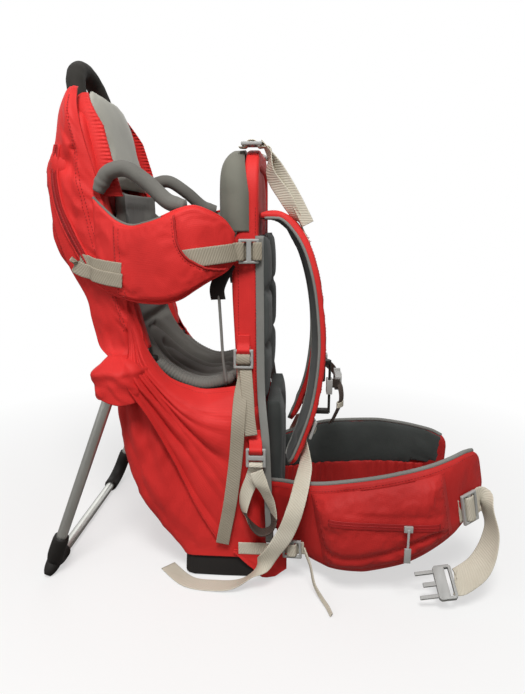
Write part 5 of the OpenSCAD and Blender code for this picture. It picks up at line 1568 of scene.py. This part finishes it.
@dataclass
class StorageBag:
    """Red bag behind the seat with zipped side panels, a hood over the hoop and a rear pocket."""

    tubes: TubeFrame
    rear_x: float = -258
    half_w: float = 112
    count: int = 132
    # by height: how far the rear stands in and how far the sides do
    steps: Knots = ((330, 72, 52), (352, 54, 32), (380, 46, 16), (420, 40, 8), (455, 30, 3), (495, 10, 0),
        (535, 2, 0), (585, 0, 2), (622, 2, 4), (652, 18, 12), (690, 20, 26), (699, 21, 36))
    # side panel by height: front x and y on the sleeve, rear x and y on the bag's corner
    panel: Knots = ((345, -140, 128, -176, 124), (356, -128, 118, -194, 108), (376, -125, 115, -202, 101),
        (400, -131, 115, -207, 101), (430, -139, 115, -212, 102), (480, -152, 115, -236, 103),
        (540, -167, 115, -252, 104), (600, -181, 116, -254, 102), (650, -194, 115, -242, 98),
        (690, -203, 108, -238, 88), (716, -208, 92, -232, 76), (724, -210, 82, -228, 70))
    rows: Points = field(init=False)

    def section(self, k: float, grow: float) -> Points:
        """One ring of the bag at a share of its height."""
        z, back, cut = at_share(self.rows, k)
        a = min(-181.3 + 25 * max(0, (430 - z) / 100), rear_at(z) - 11.63) + grow
        b = self.rear_x + back - grow
        return level_ring((a + b) / 2, rounded((a - b) / 2, self.half_w - cut + grow, 3.4, 480), z, self.count)

    def build(self) -> None:
        """Makes the bag, its panels, the hood and the pocket."""
        self.rows = curve(self.steps, 8)
        self.bag()
        for side in Side:
            self.side_panel(side)
        self.hood()
        self.pocket()

    def bag(self) -> None:
        """Cloth bag with folds that run down it, gathered at its foot."""
        count, rings = 74, []
        for k in np.linspace(0, 1, count):
            ring = self.section(k, 0)
            mid, z = ring.mean(0), ring[0, 2]
            for p in ring:
                flat = p[:2] - mid[:2]
                back = ramp((-p[0] - 186) / 20) * min(1, (700 - z) / 30)
                fold = 5.0 * crumple(p[1] / 22 + p[0] / 24, z / 62, 0.5) + 2.2 * crumple(p[1] / 12, z / 28, 1.3)
                fold += 3.2 * max(0, 1 - (z - 330) / 70) * sin(atan2(flat[1], flat[0]) * 17 + z / 16)
                p[:2] += flat / np.linalg.norm(flat) * fold * back
            rings.append(ring)
        obj = skin("storage_bag_cloth", np.array(rings), [RED_CLOTH])
        x = np.array([v.co.x for v in obj.data.vertices]) / MM
        level = np.repeat(np.arange(count), self.count)
        held = (level < 2) | (level > count - 3) | (x > -196)
        settle(obj, held.astype(float), 0.15, 0.02, 3.0)
        mount(obj, "pack", RED_CLOTH, ["storage_bag"])

    def side_panel(self, side: Side) -> None:
        """Cloth side from the rear sleeve to the bag's corner, gathered to a point over the pivot."""
        rows = curve(self.panel, 12)
        z_low, z_high = rows[0, 0], rows[-1, 0]

        def zip_at(u: float) -> float:
            """Share across at which the zip lies."""
            return float(np.interp(u, (0.30, 0.43, 0.57, 0.67, 0.79), (0.52, 0.67, 0.82, 0.87, 0.89)))

        def at(u: float, v: float, h: float) -> Points:
            """Point of the panel with its gathers, creases and pinches."""
            want = z_low + (z_high - z_low) * u
            z, xf, yf, xr, yr = (np.interp(want, rows[:, 0], rows[:, c]) for c in range(5))
            x, y = xf + (xr - xf) * v, yf + (yr - yf) * v ** 2.2
            swell = 5 * sin(pi * v) * min(1, (z - 340) / 60)
            low = max(0, 1 - (z - 345) / 95)
            fold = 7.5 * low ** 0.7 * crumple(v * 4 + z / 40, z / 20, 0.6)
            fold += 4.8 * crumple(v * 3.4 + z / 60, z / 46, 0.6)
            pinch = 7 * groove(hypot((v - 0.62) * 60, z - 618), 14)
            pinch += 5 * groove((v - 0.5) * 60 + (z - 590) / 6, 5) * (z < 640)
            fold = fold + 2.4 * crumple(v * 8 - z / 50, z / 19, 1.4) - pinch
            fold *= 1 - 0.9 * groove((v - zip_at(u)) * 70, 11)
            return mirrored([x - 0.15 * h, y + swell + fold * sin(pi * min(1, v + 0.08)) + h, z], side)

        obj = cushion(side.of("bag_side_panel"), at, even(1.2), even(1.0), (124, 40), [RED_CLOTH])
        us = np.linspace(0.1, 0.97, 90)
        stitches(side.of("bag_stitches"), obj, [row(at, us, v, 6) for v in (0.27, 0.34)])
        way = np.array([at(u, zip_at(u), 6) for u in np.linspace(0.3, 0.79, 60)])
        spots, across = zip_tape(side.of("bag_zip"), obj, way, "pack", 1.3, (0.9, 1.7))
        for k, shift in enumerate((-7.5, 7.5)):
            welt(side.of(f"bag_zip_welt_{k}"), obj, spots + across * shift, 1.7, RED_CLOTH)

    def hood(self) -> None:
        """Red cloth over the hoop's top, behind the headrest and round the handle's feet."""

        def at(u: float, v: float, h: float) -> Points:
            """Point of the hood behind the leaning hoop, drawn forward over its top."""
            w = 2 * u - 1
            half = 88 - 20 * v ** 2
            rise = -22 + 64 * v - 7 * abs(w) ** 3 * v
            crease = 1.6 * ripple(u * 16, v * 3, 0.5)
            out = -15 + 19 * v ** 2.5 - h + 4 * abs(w) ** 4 - crease
            return self.tubes.on_plane(w * half, self.tubes.handle_base + rise, out)

        cushion("bag_hood", at, even(1.4), even(1.2), (60, 22), [RED_CLOTH])

    def pocket(self) -> None:
        """Full pocket on the bag's rear, drawn in at its edge by a welt."""
        first, last = 43, 89

        def at(u: float, v: float, h: float) -> Points:
            """Point of the pocket on the bag's rear."""
            ring = self.section(0.3636 + (0.818 - 0.3636) * u, 1.5 + h)
            place = first + (last - first) * v
            low = int(place)
            return ring[low] + (ring[min(low + 1, self.count - 1)] - ring[low]) * (place - low)

        def outer(u: float, v: float) -> float:
            """How full the pocket stands, with its creases."""
            return 13 * (0.1 + 0.9 * puff(u, v, 3.0)) + 2.2 * crumple(v * 8, u * 5, 0.9) * puff(u, v, 4)

        obj = cushion("rear_pocket_cloth", at, outer, even(0.6), (40, 36), [RED_CLOTH], ["rear_pocket"],
            hold=Hold.BOTH, swell=(0.4, 0.03, 3.5))
        up = np.linspace(0, 1, 30)
        rim = np.vstack([row(at, up, 0, 0), [at(1, v, 0) for v in up], row(at, np.linspace(1, 0, 30), 1, 0)])
        # painted shade: the pocket's piping takes the shaded red copy of the cloth
        welt("rear_pocket_piping", obj, rim, 1.8, RED_SHADE)


@dataclass
class ShoulderHarness:
    """Shoulder straps, load lifters, lower webbing and the chest strap."""

    knots: Knots = ((46.2, 66, 548), (76, 66, 545), (101, 73, 516), (117, 78, 478), (128, 83, 425), (133, 88, 352),
        (125, 92, 277), (107, 96, 216), (91, 98, 176))
    width: float = 58
    thick: float = 15
    steps: int = 24
    line: Points = field(init=False)

    def frame_at(self, s: float) -> tuple[Points, Points, Points, Points]:
        """Middle, heading, width direction and outward normal of a strap at a share of its way."""
        t = way_at(self.line, s)
        turn = np.array([0.16 * min(1, s * self.steps / 6), 1, 0])
        a = unit(turn - (turn @ t) * t)
        return at_share(self.line, s), t, a, np.cross(t, a)

    def build(self) -> None:
        """Makes both straps and what hangs on them."""
        self.line = curve(self.knots, 12)
        for side in Side:
            self.strap(side)
            self.lifter(side)
            self.lower_web(side)
        self.chest()

    def strap(self, side: Side) -> None:
        """Padded strap: red outside, dark mesh inside, grey binding on both edges."""

        def at(u: float, v: float, h: float) -> Points:
            """Point of the strap, which narrows downward."""
            p, _, a, n = self.frame_at(u)
            w = self.width * (1 - 0.28 * u * u) * (0.55 + 0.45 * min(1, (1 - u) / 0.05))
            return mirrored(p + a * (2 * v - 1) * w / 2 + n * h, side)

        def outer(u: float, v: float) -> float:
            """Height of the red face, which dips along its two seams."""
            dip = 1.2 * groove((abs(2 * v - 1) - 0.72) * 26, 2.5)
            return self.thick / 2 * (0.42 + 0.58 * puff(u, v, 6)) - dip

        def inner(u: float, v: float) -> float:
            """Depth of the mesh face."""
            return self.thick / 2 * (0.42 + 0.58 * puff(u, v, 4))

        obj = cushion(side.of("strap_cushion"), at, outer, inner, (96, 18), [RED_CLOTH, DARK_PAD],
            [side.of("shoulder_strap")], hold=Hold.RIM, swell=(0.6, 0.014, 1.6))
        us = np.linspace(0.03, 0.985, 90)
        for k, v in enumerate((0.0, 1.0)):
            welt(side.of(f"strap_binding_{k}"), obj, row(at, us, v, -3.5), 2.2, GREY_BINDING)
        seams = [row(at, np.linspace(0.05, 0.97, 90), v, 6) for v in (0.14, 0.86)]
        stitches(side.of("strap_stitches"), obj, seams)

    def on_strap(self, k: int, h: float, sideways: float = 6) -> Points:
        """Point on a strap's outer face at one of its steps."""
        p, _, a, n = self.frame_at(k / self.steps)
        return p + n * h + a * sideways

    def lifter(self, side: Side) -> None:
        """Load lifter from its lock on the panel's top down to the strap, with a loose end."""
        at = np.array([34, 82, 628 + 12 + LOCK_RISE + WEB_THICK / 2 + 0.3])
        rise = self.thick / 2 + WEB_THICK / 2 + 0.9
        knots = np.vstack([threaded(at, [1, 0, 0], [0, 0, 1]), at + [LOCK_LONG / 2 + 12, 0, -6.9],
            [60, 86, 606], [80, 88, 575], [98, 86, 546], self.on_strap(5, rise + 3.6), self.on_strap(6, rise),
            self.on_strap(7, rise)])
        turns = np.vstack([[[0, 1, 0]] * 7, [[0.6, 0.7, 0.3], [0.9, 0.3, 0.4], [0.6, 0.75, 0.3]],
            [self.frame_at(k / self.steps)[2] for k in (5, 6, 7)]])
        made = strap("load_lifter", knots, turns, 20, BEIGE_WEB, side, ["load_lifters"])
        strap("lifter_end", [at + [14, 2, 4.5], [56, 84, 636], [72, 86, 612], [92, 90, 578], [108, 93, 548],
            [114, 94, 536]], [[0, 1, 0], [0.3, 0.9, 0.2], [0.7, 0.6, 0.4], [0.9, 0.3, 0.5], [0.9, 0.2, 0.5],
            [0.9, 0.2, 0.5]], 18, BEIGE_WEB, side)
        side_lock("lifter_lock", 20, at, [1, 0, 0], [0, 0, 1], side, ["load_lifter_locks"])
        _, t, a, _ = self.frame_at(7 / self.steps)
        box = [self.on_strap(7, rise + 1.2) + t * x + a * y
            for x, y in ((-7, -8), (7, -8), (7, 8), (-7, 8), (-7, -8), (7, 8))]
        stitches(side.of("lifter_stitches"), made, [mirrored(np.array(box), side)], pitch=3.4, length=2.4)

    def lower_web(self, side: Side) -> None:
        """Webbing from the strap's lower lock to the floor."""
        p, t, a, n = self.frame_at(20 / self.steps)
        at = p + n * (self.thick / 2 + LOCK_RISE + WEB_THICK / 2 - 0.1)
        y = 173
        knots = np.vstack([threaded(at, t, n), at + t * 22 - n * 2.9,
            [[116, 118, 182], [112, 146, 166], [102, y - 4, 132], [88, y, 94], [66, y, 58],
            [42, y - 2, 26], [16, y + 1, 9], [-16, y - 1, 2.6], [-60, y - 9, 1.6],
            [-100, y - 46, 1.6]]])
        turns = np.vstack([[a] * 7, [[0.7, 0.8, 0.2], [1, 0.2, 0.3], [1, 0, 0.5], [1, 0, 0.8], [1, 0, 1],
            [0.7, 0.5, 0.8], [0.1, 1, 0.2], [0.3, 1, 0], [0.5, 1, 0], [0.5, 1, 0]]])
        strap("shoulder_web", knots, turns, 25, BEIGE_WEB, side, ["shoulder_webs"])
        side_lock("shoulder_lock", 25, at, t, n, side, ["shoulder_locks"])

    def chest(self) -> None:
        """Chest strap: rails on the straps, sliders, dark webbing, buckle, keeper and loose tail."""
        softened("chest_rails", BLACK_NYLON, 0.6)
        softened("chest_sliders", GREY_ACETAL, 0.9, "chest_strap")
        softened("chest_buckle", GREY_ACETAL, 1.0, "chest_strap")
        _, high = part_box("chest_rails")
        x, z = high.x / MM - 2, 294
        lo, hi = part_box("chest_buckle")
        mid = np.array([(lo.x + hi.x) / 2, 0, (lo.z + hi.z) / 2]) / MM
        for side in Side:
            strap("chest_web", [[x, 71.7, z], [x, 66.7, z], [x + 12, 48, z - 6], mid + [0, 29.3, 0],
                mid + [0, 24.3, 0]], [0.2, 0, 1], 14.8, DARK_WEB, side, ["chest_web"], "chest_strap")
        tail = curve([mid + [-2.5, -26, 4], mid + [3, -36, -6], mid + [4, -40, -26],
            mid + [-6, -42, -52], mid + [-12, -41, -64]], 8)
        made = ribbon("chest_web_tail", tail, np.tile([0.5, 0.85, 0.0], (len(tail), 1)), 14.8, DARK_WEB)
        mount(made, "chest_strap", DARK_WEB)
        spot = at_share(tail, 0.55)
        deep, wide = 3.2, 9.5
        loop = spot + np.array([[deep * cos(w) * 0.85 - 0.5 * wide * sin(w),
            -deep * cos(w) * 0.5 - 0.85 * wide * sin(w), 0] for w in np.linspace(0, 2 * pi, 40)])
        keeper = ribbon("chest_web_keeper", loop, np.tile([0, 0, 1.0], (len(loop), 1)), 9, BEIGE_WEB, 1.4)
        mount(keeper, "chest_strap", BEIGE_WEB)


@dataclass
class SideStraps:
    """Side webbing, foot stirrups and hip stabilisers."""

    body: float = 143

    def build(self) -> None:
        """Makes the straps of both sides."""
        for side in Side:
            self.side_web(side)
            self.stirrup(side)
            self.stabiliser(side)

    def side_web(self, side: Side) -> None:
        """Webbing from the lock on the front sleeve down the skirt's side, with its shorter fellow."""
        at = np.array([23, 112 + LOCK_RISE + WEB_THICK / 2 + 0.3, 343])
        y = self.body + 1.8
        strap("side_web", np.vstack([threaded(at, [0, 0, -1], [0, 1, 0]), at + [0, -2.9, -32],
            [[20, y - 12, 290], [18, y + 2.5, 256], [14, y + 4.5, 200], [5, y + 6, 130],
            [-5, y + 6, 76], [-8, y + 5, 60]]]), [1, 0, 0], 20, TAUPE_WEB, side, ["side_webs"])
        strap("side_web_under", [at + [3, -1.6, -16], [30, y - 14, 296], [33, y - 2, 262], [37, y + 3, 236]],
            [1, 0, 0], 18, TAUPE_WEB, side)
        side_lock("side_lock", 20, at, [0, 0, -1], [0, 1, 0], side, ["side_locks"])
        strap("side_tab", [[23, 112.9, 378], [23, 113.4, 366], [23, 116.6, 360], [23, 119.6, 356], [23, 116.8, 350.5],
            [23, 113.6, 352]], [1, 0, 0], 19, RED_CLOTH, side, thick=2.0)

    def stirrup(self, side: Side) -> None:
        """Foot loop hung on its lock, with a dark wear patch at its lowest."""
        at = np.array([44, self.body + 10.5, 204])
        b = at + [0, 0, -LOCK_LONG / 2 + 2]
        r = LOCK_THICK / 2 + WEB_THICK / 2 + 1.2
        knots = np.array([b + p for p in ([0, r, 0], [0, r * 0.7, 4], [0, 0, 4.6], [0, -r * 0.7, 4], [0, -r, 0],
            [-6, -r, -22], [-16, -r + 2, -50], [-18, -1, -76], [-6, 2, -96], [8, 3, -106],
            [23, 3, -99], [27, 3, -78], [19, 4, -50], [9, r + 4, -26], [1, r + 1.5, -6])])
        turns = [[1, 0, 0]] * 5 + [[1, 0.1, 0], [0.9, 0.4, 0], [0.5, 0.9, 0], [0.1, 1, 0], [0, 1, 0], [0.1, 1, 0],
            [0.5, 0.9, -0.2], [0.9, 0.4, -0.4], [0.9, 0.1, -0.4], [1, 0, 0]]
        body = side.of("foot_loop")
        strap("stirrup_web", knots, turns, 20, BEIGE_WEB, side, [side.of("stirrup")], body)
        strap("stirrup_patch", knots[7:12], turns[7:12], 20.6, DARK_WEB, side, body=body, thick=3.0)
        side_lock("stirrup_lock", 20, at, [0, 0, -1], [0, 1, 0], side, ["stirrup_locks"])
        strap("stirrup_tab", [[40, 136.5, 240], [41, 138.5, 230], [43, 147, 223], [44, 156.4, 217], [44, 153.5, 209.8],
            [44, 150, 212]], [1, 0, 0], 19, RED_CLOTH, side, thick=2.0)

    def stabiliser(self, side: Side) -> None:
        """Strap from the skirt's foot through its lock, with a narrow loose tail on the floor."""
        at, way, out = np.array([98, self.body + 14, 60]), [1, 0.12, 0.05], [-0.12, 1, 0]
        y, sewn = self.body + 1.1, 138 + 3.3 + WEB_THICK / 2 + 0.6
        first = np.vstack([[[16, sewn + 2, 50], [34, sewn + 2, 50], [54, sewn + 3, 51], [70, y + 5, 53]],
            threaded(at, way, out)])
        strap("stabiliser_web", first, [0, 0, 1], 20, BEIGE_WEB, side, ["stabiliser_webs"])
        knots = [first[-1], [119, y + 17, 56], [126, y + 24, 40], [132, y + 34, 17], [142, y + 50, 7],
            [150, y + 66, 5], [155, y + 82, 4.4]]
        turns = [[0, 0, 1], [0, 0.1, 1], [0.2, 0.6, 0.8], [0.3, 0.5, 0.6], [0.5, 0.1, 0.8], [0.5, -0.2, 0.8],
            [0.5, -0.2, 0.8]]
        strap("stabiliser_tail", knots, turns, 6, BEIGE_WEB, side, thick=2.2)
        side_lock("stabiliser_lock", 20, at, way, out, side, ["stabiliser_locks"])


@dataclass
class HipBelt:
    """Hip wings with zipped pockets, the waist webbing and its buckle."""

    knots: Knots = ((0, 96), (20, 111), (58, 140), (103, 160), (183, 170), (240, 160), (284, 138), (320, 110))
    rise: dict = field(default_factory=lambda: {Side.RIGHT: 11.0, Side.LEFT: -2.0})
    thick: float = 16
    face_y: float = 196
    steps: int = 21
    web_wide: float = 38
    line: Points = field(init=False)

    def build(self) -> None:
        """Makes both wings with their pockets and webbing, then the buckle."""
        self.line = curve(self.knots, 12)
        for side in Side:
            self.wing(side)
            self.inner_pad(side)
            self.pocket(side)
            softened(side.of("zip_slider"), GREY_ACETAL, 0.5, side.of("zip"))
        self.right_web()
        self.left_web()
        softened("waist_buckle_plug", GREY_ACETAL, 1.0, "right_hip")
        softened("waist_buckle_socket", GREY_ACETAL, 1.4, "left_hip")

    def world(self, p: Sequence[float], side: Side) -> Points:
        """Point of a wing's own level frame put on the pack."""
        r = radians(self.rise[side])
        x, y, z = p
        return np.array([66 + x * cos(r) - z * sin(r), y * side.value,
            100 + x * sin(r) + z * cos(r)])

    def turned(self, v: Sequence[float], side: Side) -> Points:
        """Direction of a wing's own frame put on the pack."""
        return self.world(v, side) - self.world((0, 0, 0), side)

    @staticmethod
    def top(s: float) -> float:
        """Upper edge of a wing."""
        return float(np.interp(s, (0, 0.29, 0.6, 0.9, 0.955, 0.985, 1), (40, 47, 55, 54, 50, 42, 30)))

    @staticmethod
    def low(s: float) -> float:
        """Lower edge of a wing."""
        return float(np.interp(s, (0, 0.2, 0.34, 0.47, 0.57, 0.71, 0.79, 0.9, 0.97, 1),
            (-56, -73, -87, -91, -82, -65, -55, -36, -16, -2)))

    def out(self, s: float, h: float, z: float) -> Points:
        """Point at a share of the wing's way, out from its middle by h, in its own frame."""
        return beside(self.line, s, h, z)

    def half(self, s: float, v: float) -> float:
        """Half thickness of a wing at a share of its way and of its height."""
        return self.thick / 2 * (0.25 + 0.75 * puff(s, v, 5))

    def wing(self, side: Side) -> None:
        """Padded wing: red outside and deeper red inside, both darkened as painted shade, grey binding along its top.
        """

        def at(u: float, v: float, h: float) -> Points:
            """Point of the wing between its edges."""
            return self.world(self.out(u, h, self.low(u) + (self.top(u) - self.low(u)) * v), side)

        body = side.of("hip")
        # painted shade: the wing's outer face takes the darkened belt red and its inner face the shaded red copy
        obj = cushion(side.of("hip_cushion"), at, self.half, self.half, (84, 26), [RED_BELT_SHADED, RED_SHADE],
            [side.of("hip_wing")], body, hold=Hold.RIM, swell=(0.6, 0.014, 1.8))
        top, low = row(at, np.linspace(0.02, 0.955, 80), 1, -1.5), row(at, np.linspace(0.02, 0.98, 80), 0, 0)
        welt(side.of("hip_binding"), obj, top, 3.4, GREY_BINDING, body)
        # painted shade: the low piping takes the darkened belt red
        welt(side.of("hip_low_piping"), obj, low, 1.8, RED_BELT_SHADED, body)
        stitches(side.of("hip_stitches"), obj, [row(at, np.linspace(0.1, 0.94, 70), 0.95, 6)], body)

    def inner_pad(self, side: Side) -> None:
        """Dark foam pad on the wing's inner face, over a gathered red strip."""

        def at(u: float, v: float, h: float) -> Points:
            """Point of the pad on the wing's inner face."""
            s = 0.05 + 0.91 * u
            low = self.low(s) * (0.42 if s < 0.8 else 0.3)
            z = low + (self.top(s) - 2 - low) * v
            return self.world(self.out(s, -(self.half(s, 0.5) + h - 1.5), z), side)

        cushion(side.of("hip_inner_pad"), at, lambda u, v: 1 + 10 * puff(u, v, 3.0), even(0.4), (64, 24),
            [DARK_PAD], body=side.of("hip"), swell=(0.8, 0.01, 2.0))

        def strip(u: float, v: float, h: float) -> Points:
            """Point of the strip, gathered along its way."""
            s = 0.08 + 0.8 * u
            z = self.low(s) * (0.97 - 0.6 * v)
            ruche = 1.5 * sin(u * 2 * pi * 15) * (0.35 + v) + 0.8 * ripple(u * 30, v * 2, 0.7)
            return self.world(self.out(s, -(self.thick / 2 + h + 1.2 + ruche), z), side)

        # painted shade: the gathered strip takes the darkened belt red
        cushion(side.of("hip_gathered_strip"), strip, lambda u, v: 1.0 + 2.4 * puff(u, v, 4), even(0.6),
            (150, 12), [RED_BELT_SHADED], body=side.of("hip"))

    def pocket(self, side: Side) -> None:
        """Pouch with creased cloth, a slanting zip and a curved seam below it."""
        first, last = 7 / self.steps, 16 / self.steps

        def at(u: float, v: float, h: float) -> Points:
            """Point of the pouch, from the wing's face at height 0 to its flat front at 1."""
            s = first + (last - first) * u
            low, high = self.low(s) + 8, self.top(s) - 9
            p = self.out(s, self.thick / 2 + 0.3, low + (high - low) * v)
            full = (1 - abs(2 * u - 1) ** 5) * (1 - abs(2 * v - 1) ** 5)
            rise = h * max(0.0, self.face_y - 1.2 - p[1]) * max(0.03, full) if h > 0 else 0.0
            return self.world([p[0], p[1] + rise, p[2]], side)

        # painted shade: the pouch takes the darkened belt red
        soft = quilt(side.of("hip_pocket_cloth"), at, even(1.0), even(0.0), 64, 40, [RED_BELT_SHADED])
        slope = radians(11)
        zip_line = np.array([
            self.world([165 + k * cos(slope), self.face_y - 1, -7 - k * sin(slope)], side)
            for k in np.linspace(-84, 78, 60)])
        points = np.array([v.co for v in soft.obj.data.vertices]) / MM
        near = np.array([np.abs(zip_line - p)[:, [0, 2]].max(1).min() for p in points])
        for i, (u, v, face) in enumerate(zip(soft.u, soft.v, soft.face)):
            if face > 0:
                sag = 5.5 * groove((v - 0.2 - 0.5 * (u - 0.45) ** 2) * 110, 7)
                crease = 2.6 * (1 - crumple(u * 7 + 2 * v, v * 5 - u, 0.4)) + sag
                points[i, 1] -= side.value * (0.6 + crease * puff(u, v, 3) * min(1, max(0, near[i] - 6) / 8))
        soft.obj.data.vertices.foreach_set("co", (points * MM).ravel())
        edge = np.minimum.reduce([soft.u, 1 - soft.u, soft.v, 1 - soft.v])
        settle(soft.obj, np.where((soft.face < 0) | (edge < 0.04) | (near < 9), 1.0, 0.0), 0.02, 0.02, 2.0)
        points = np.array([v.co for v in soft.obj.data.vertices])
        limit = (self.face_y - 0.4) * MM
        points[:, 1] = np.clip(points[:, 1], -limit, limit)
        soft.obj.data.vertices.foreach_set("co", points.ravel())
        soft.obj.data.update()
        body = side.of("hip")
        mount(soft.obj, body, RED_BELT_SHADED, [side.of("hip_pocket")])
        zip_tape(side.of("hip_zip_tape"), soft.obj, zip_line, body, 0.7, (0.0, 1.0), self.face_y - 0.9)
        seams = [np.array([at(u, 0.2 + 0.5 * (u - 0.45) ** 2, 1) for u in np.linspace(0.04, 0.96, 50)])]
        seams += [np.array([at(u, v, 1) for v in np.linspace(0.05, 0.95, 30)]) for u in (0.05, 0.95)]
        stitches(side.of("pocket_stitches"), soft.obj, seams, body)

    def waist(self) -> tuple[Points, Points, Points]:
        """Place, way and outward direction of the waist locks in a wing's own frame."""
        s = 18 / self.steps
        t = way_at(self.line, s)
        way, out = np.array([t[0], t[1], 0]), np.array([-t[1], t[0], 0])
        return self.out(s, self.thick / 2 + LOCK_RISE + WEB_THICK / 2 - 0.3, -22), way, out

    def webbing(self, side: Side, knots: Points, turns: Knots, finish: Finish) -> None:
        """Waist webbing of one side with its lock."""
        at, way, out = self.waist()
        line = np.array([self.world(p, side) for p in curve(knots, 8)])
        across = np.array([self.turned(v, side) for v in curve(turns, 8)])
        made = ribbon(side.of("waist_webbing"), line, across, self.web_wide, finish)
        body = side.of("hip")
        mount(made, body, finish, [side.of("waist_web")])
        lock = ladder_lock(side.of("waist_lock"), self.web_wide, self.world(at, side), self.turned(way, side),
            self.turned(out, side))
        mount(lock, body, GREY_ACETAL)

    def right_web(self) -> None:
        """Webbing that hangs outside the right wing down to the plug."""
        at, way, out = self.waist()
        b = np.array([222 + 26.6, 186, -112])
        knots = np.vstack([threaded(at, way, out), at + way * 28 - out * 3.9,
            [[319, 136, -42], [317, 148, -64], [304, 162, -86], [284, 176, -103], b + [8, 0, 0], b]])
        turns = [[0, 0, 1]] * 7 + [[0.2, 0.8, 0.6], [0.2, 1, 0], [0.1, 1, -0.3], [0, 0.9, -0.5], [0, 0.8, -0.6],
            [0, 0.8, -0.6]]
        self.webbing(Side.RIGHT, knots, turns, BEIGE_WEB)

    def left_web(self) -> None:
        """Webbing tucked inside the left wing down to the socket, dark as painted shade."""
        at, way, out = self.waist()
        b = np.array([274 + 26.6, 84, -42])
        knots = np.vstack([threaded(at, way, out),
            [[322, 122, -23], [333, 106, -27], [329, 92, -34], [317, 85, -40], b + [6, 0, 0], b]])
        # painted shade: the left webbing takes the dark twill where it lies in the wing's shadow
        self.webbing(Side.LEFT, knots, [[0, 0, 1]] * len(knots), DARK_WEB)


def main() -> None:
    """Builds the studio and every sub-assembly in order."""
    logging.basicConfig(level=logging.INFO, format="%(message)s")
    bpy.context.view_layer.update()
    Studio().build()
    tubes = TubeFrame()
    for assembly in (tubes, LowerBody(), BackPanel(), ChildSeat(tubes), SideWings(), StorageBag(tubes),
            ShoulderHarness(), SideStraps(), HipBelt()):
        log.info("building %s", type(assembly).__name__)
        assembly.build()


if __name__ == "__main__":
    main()
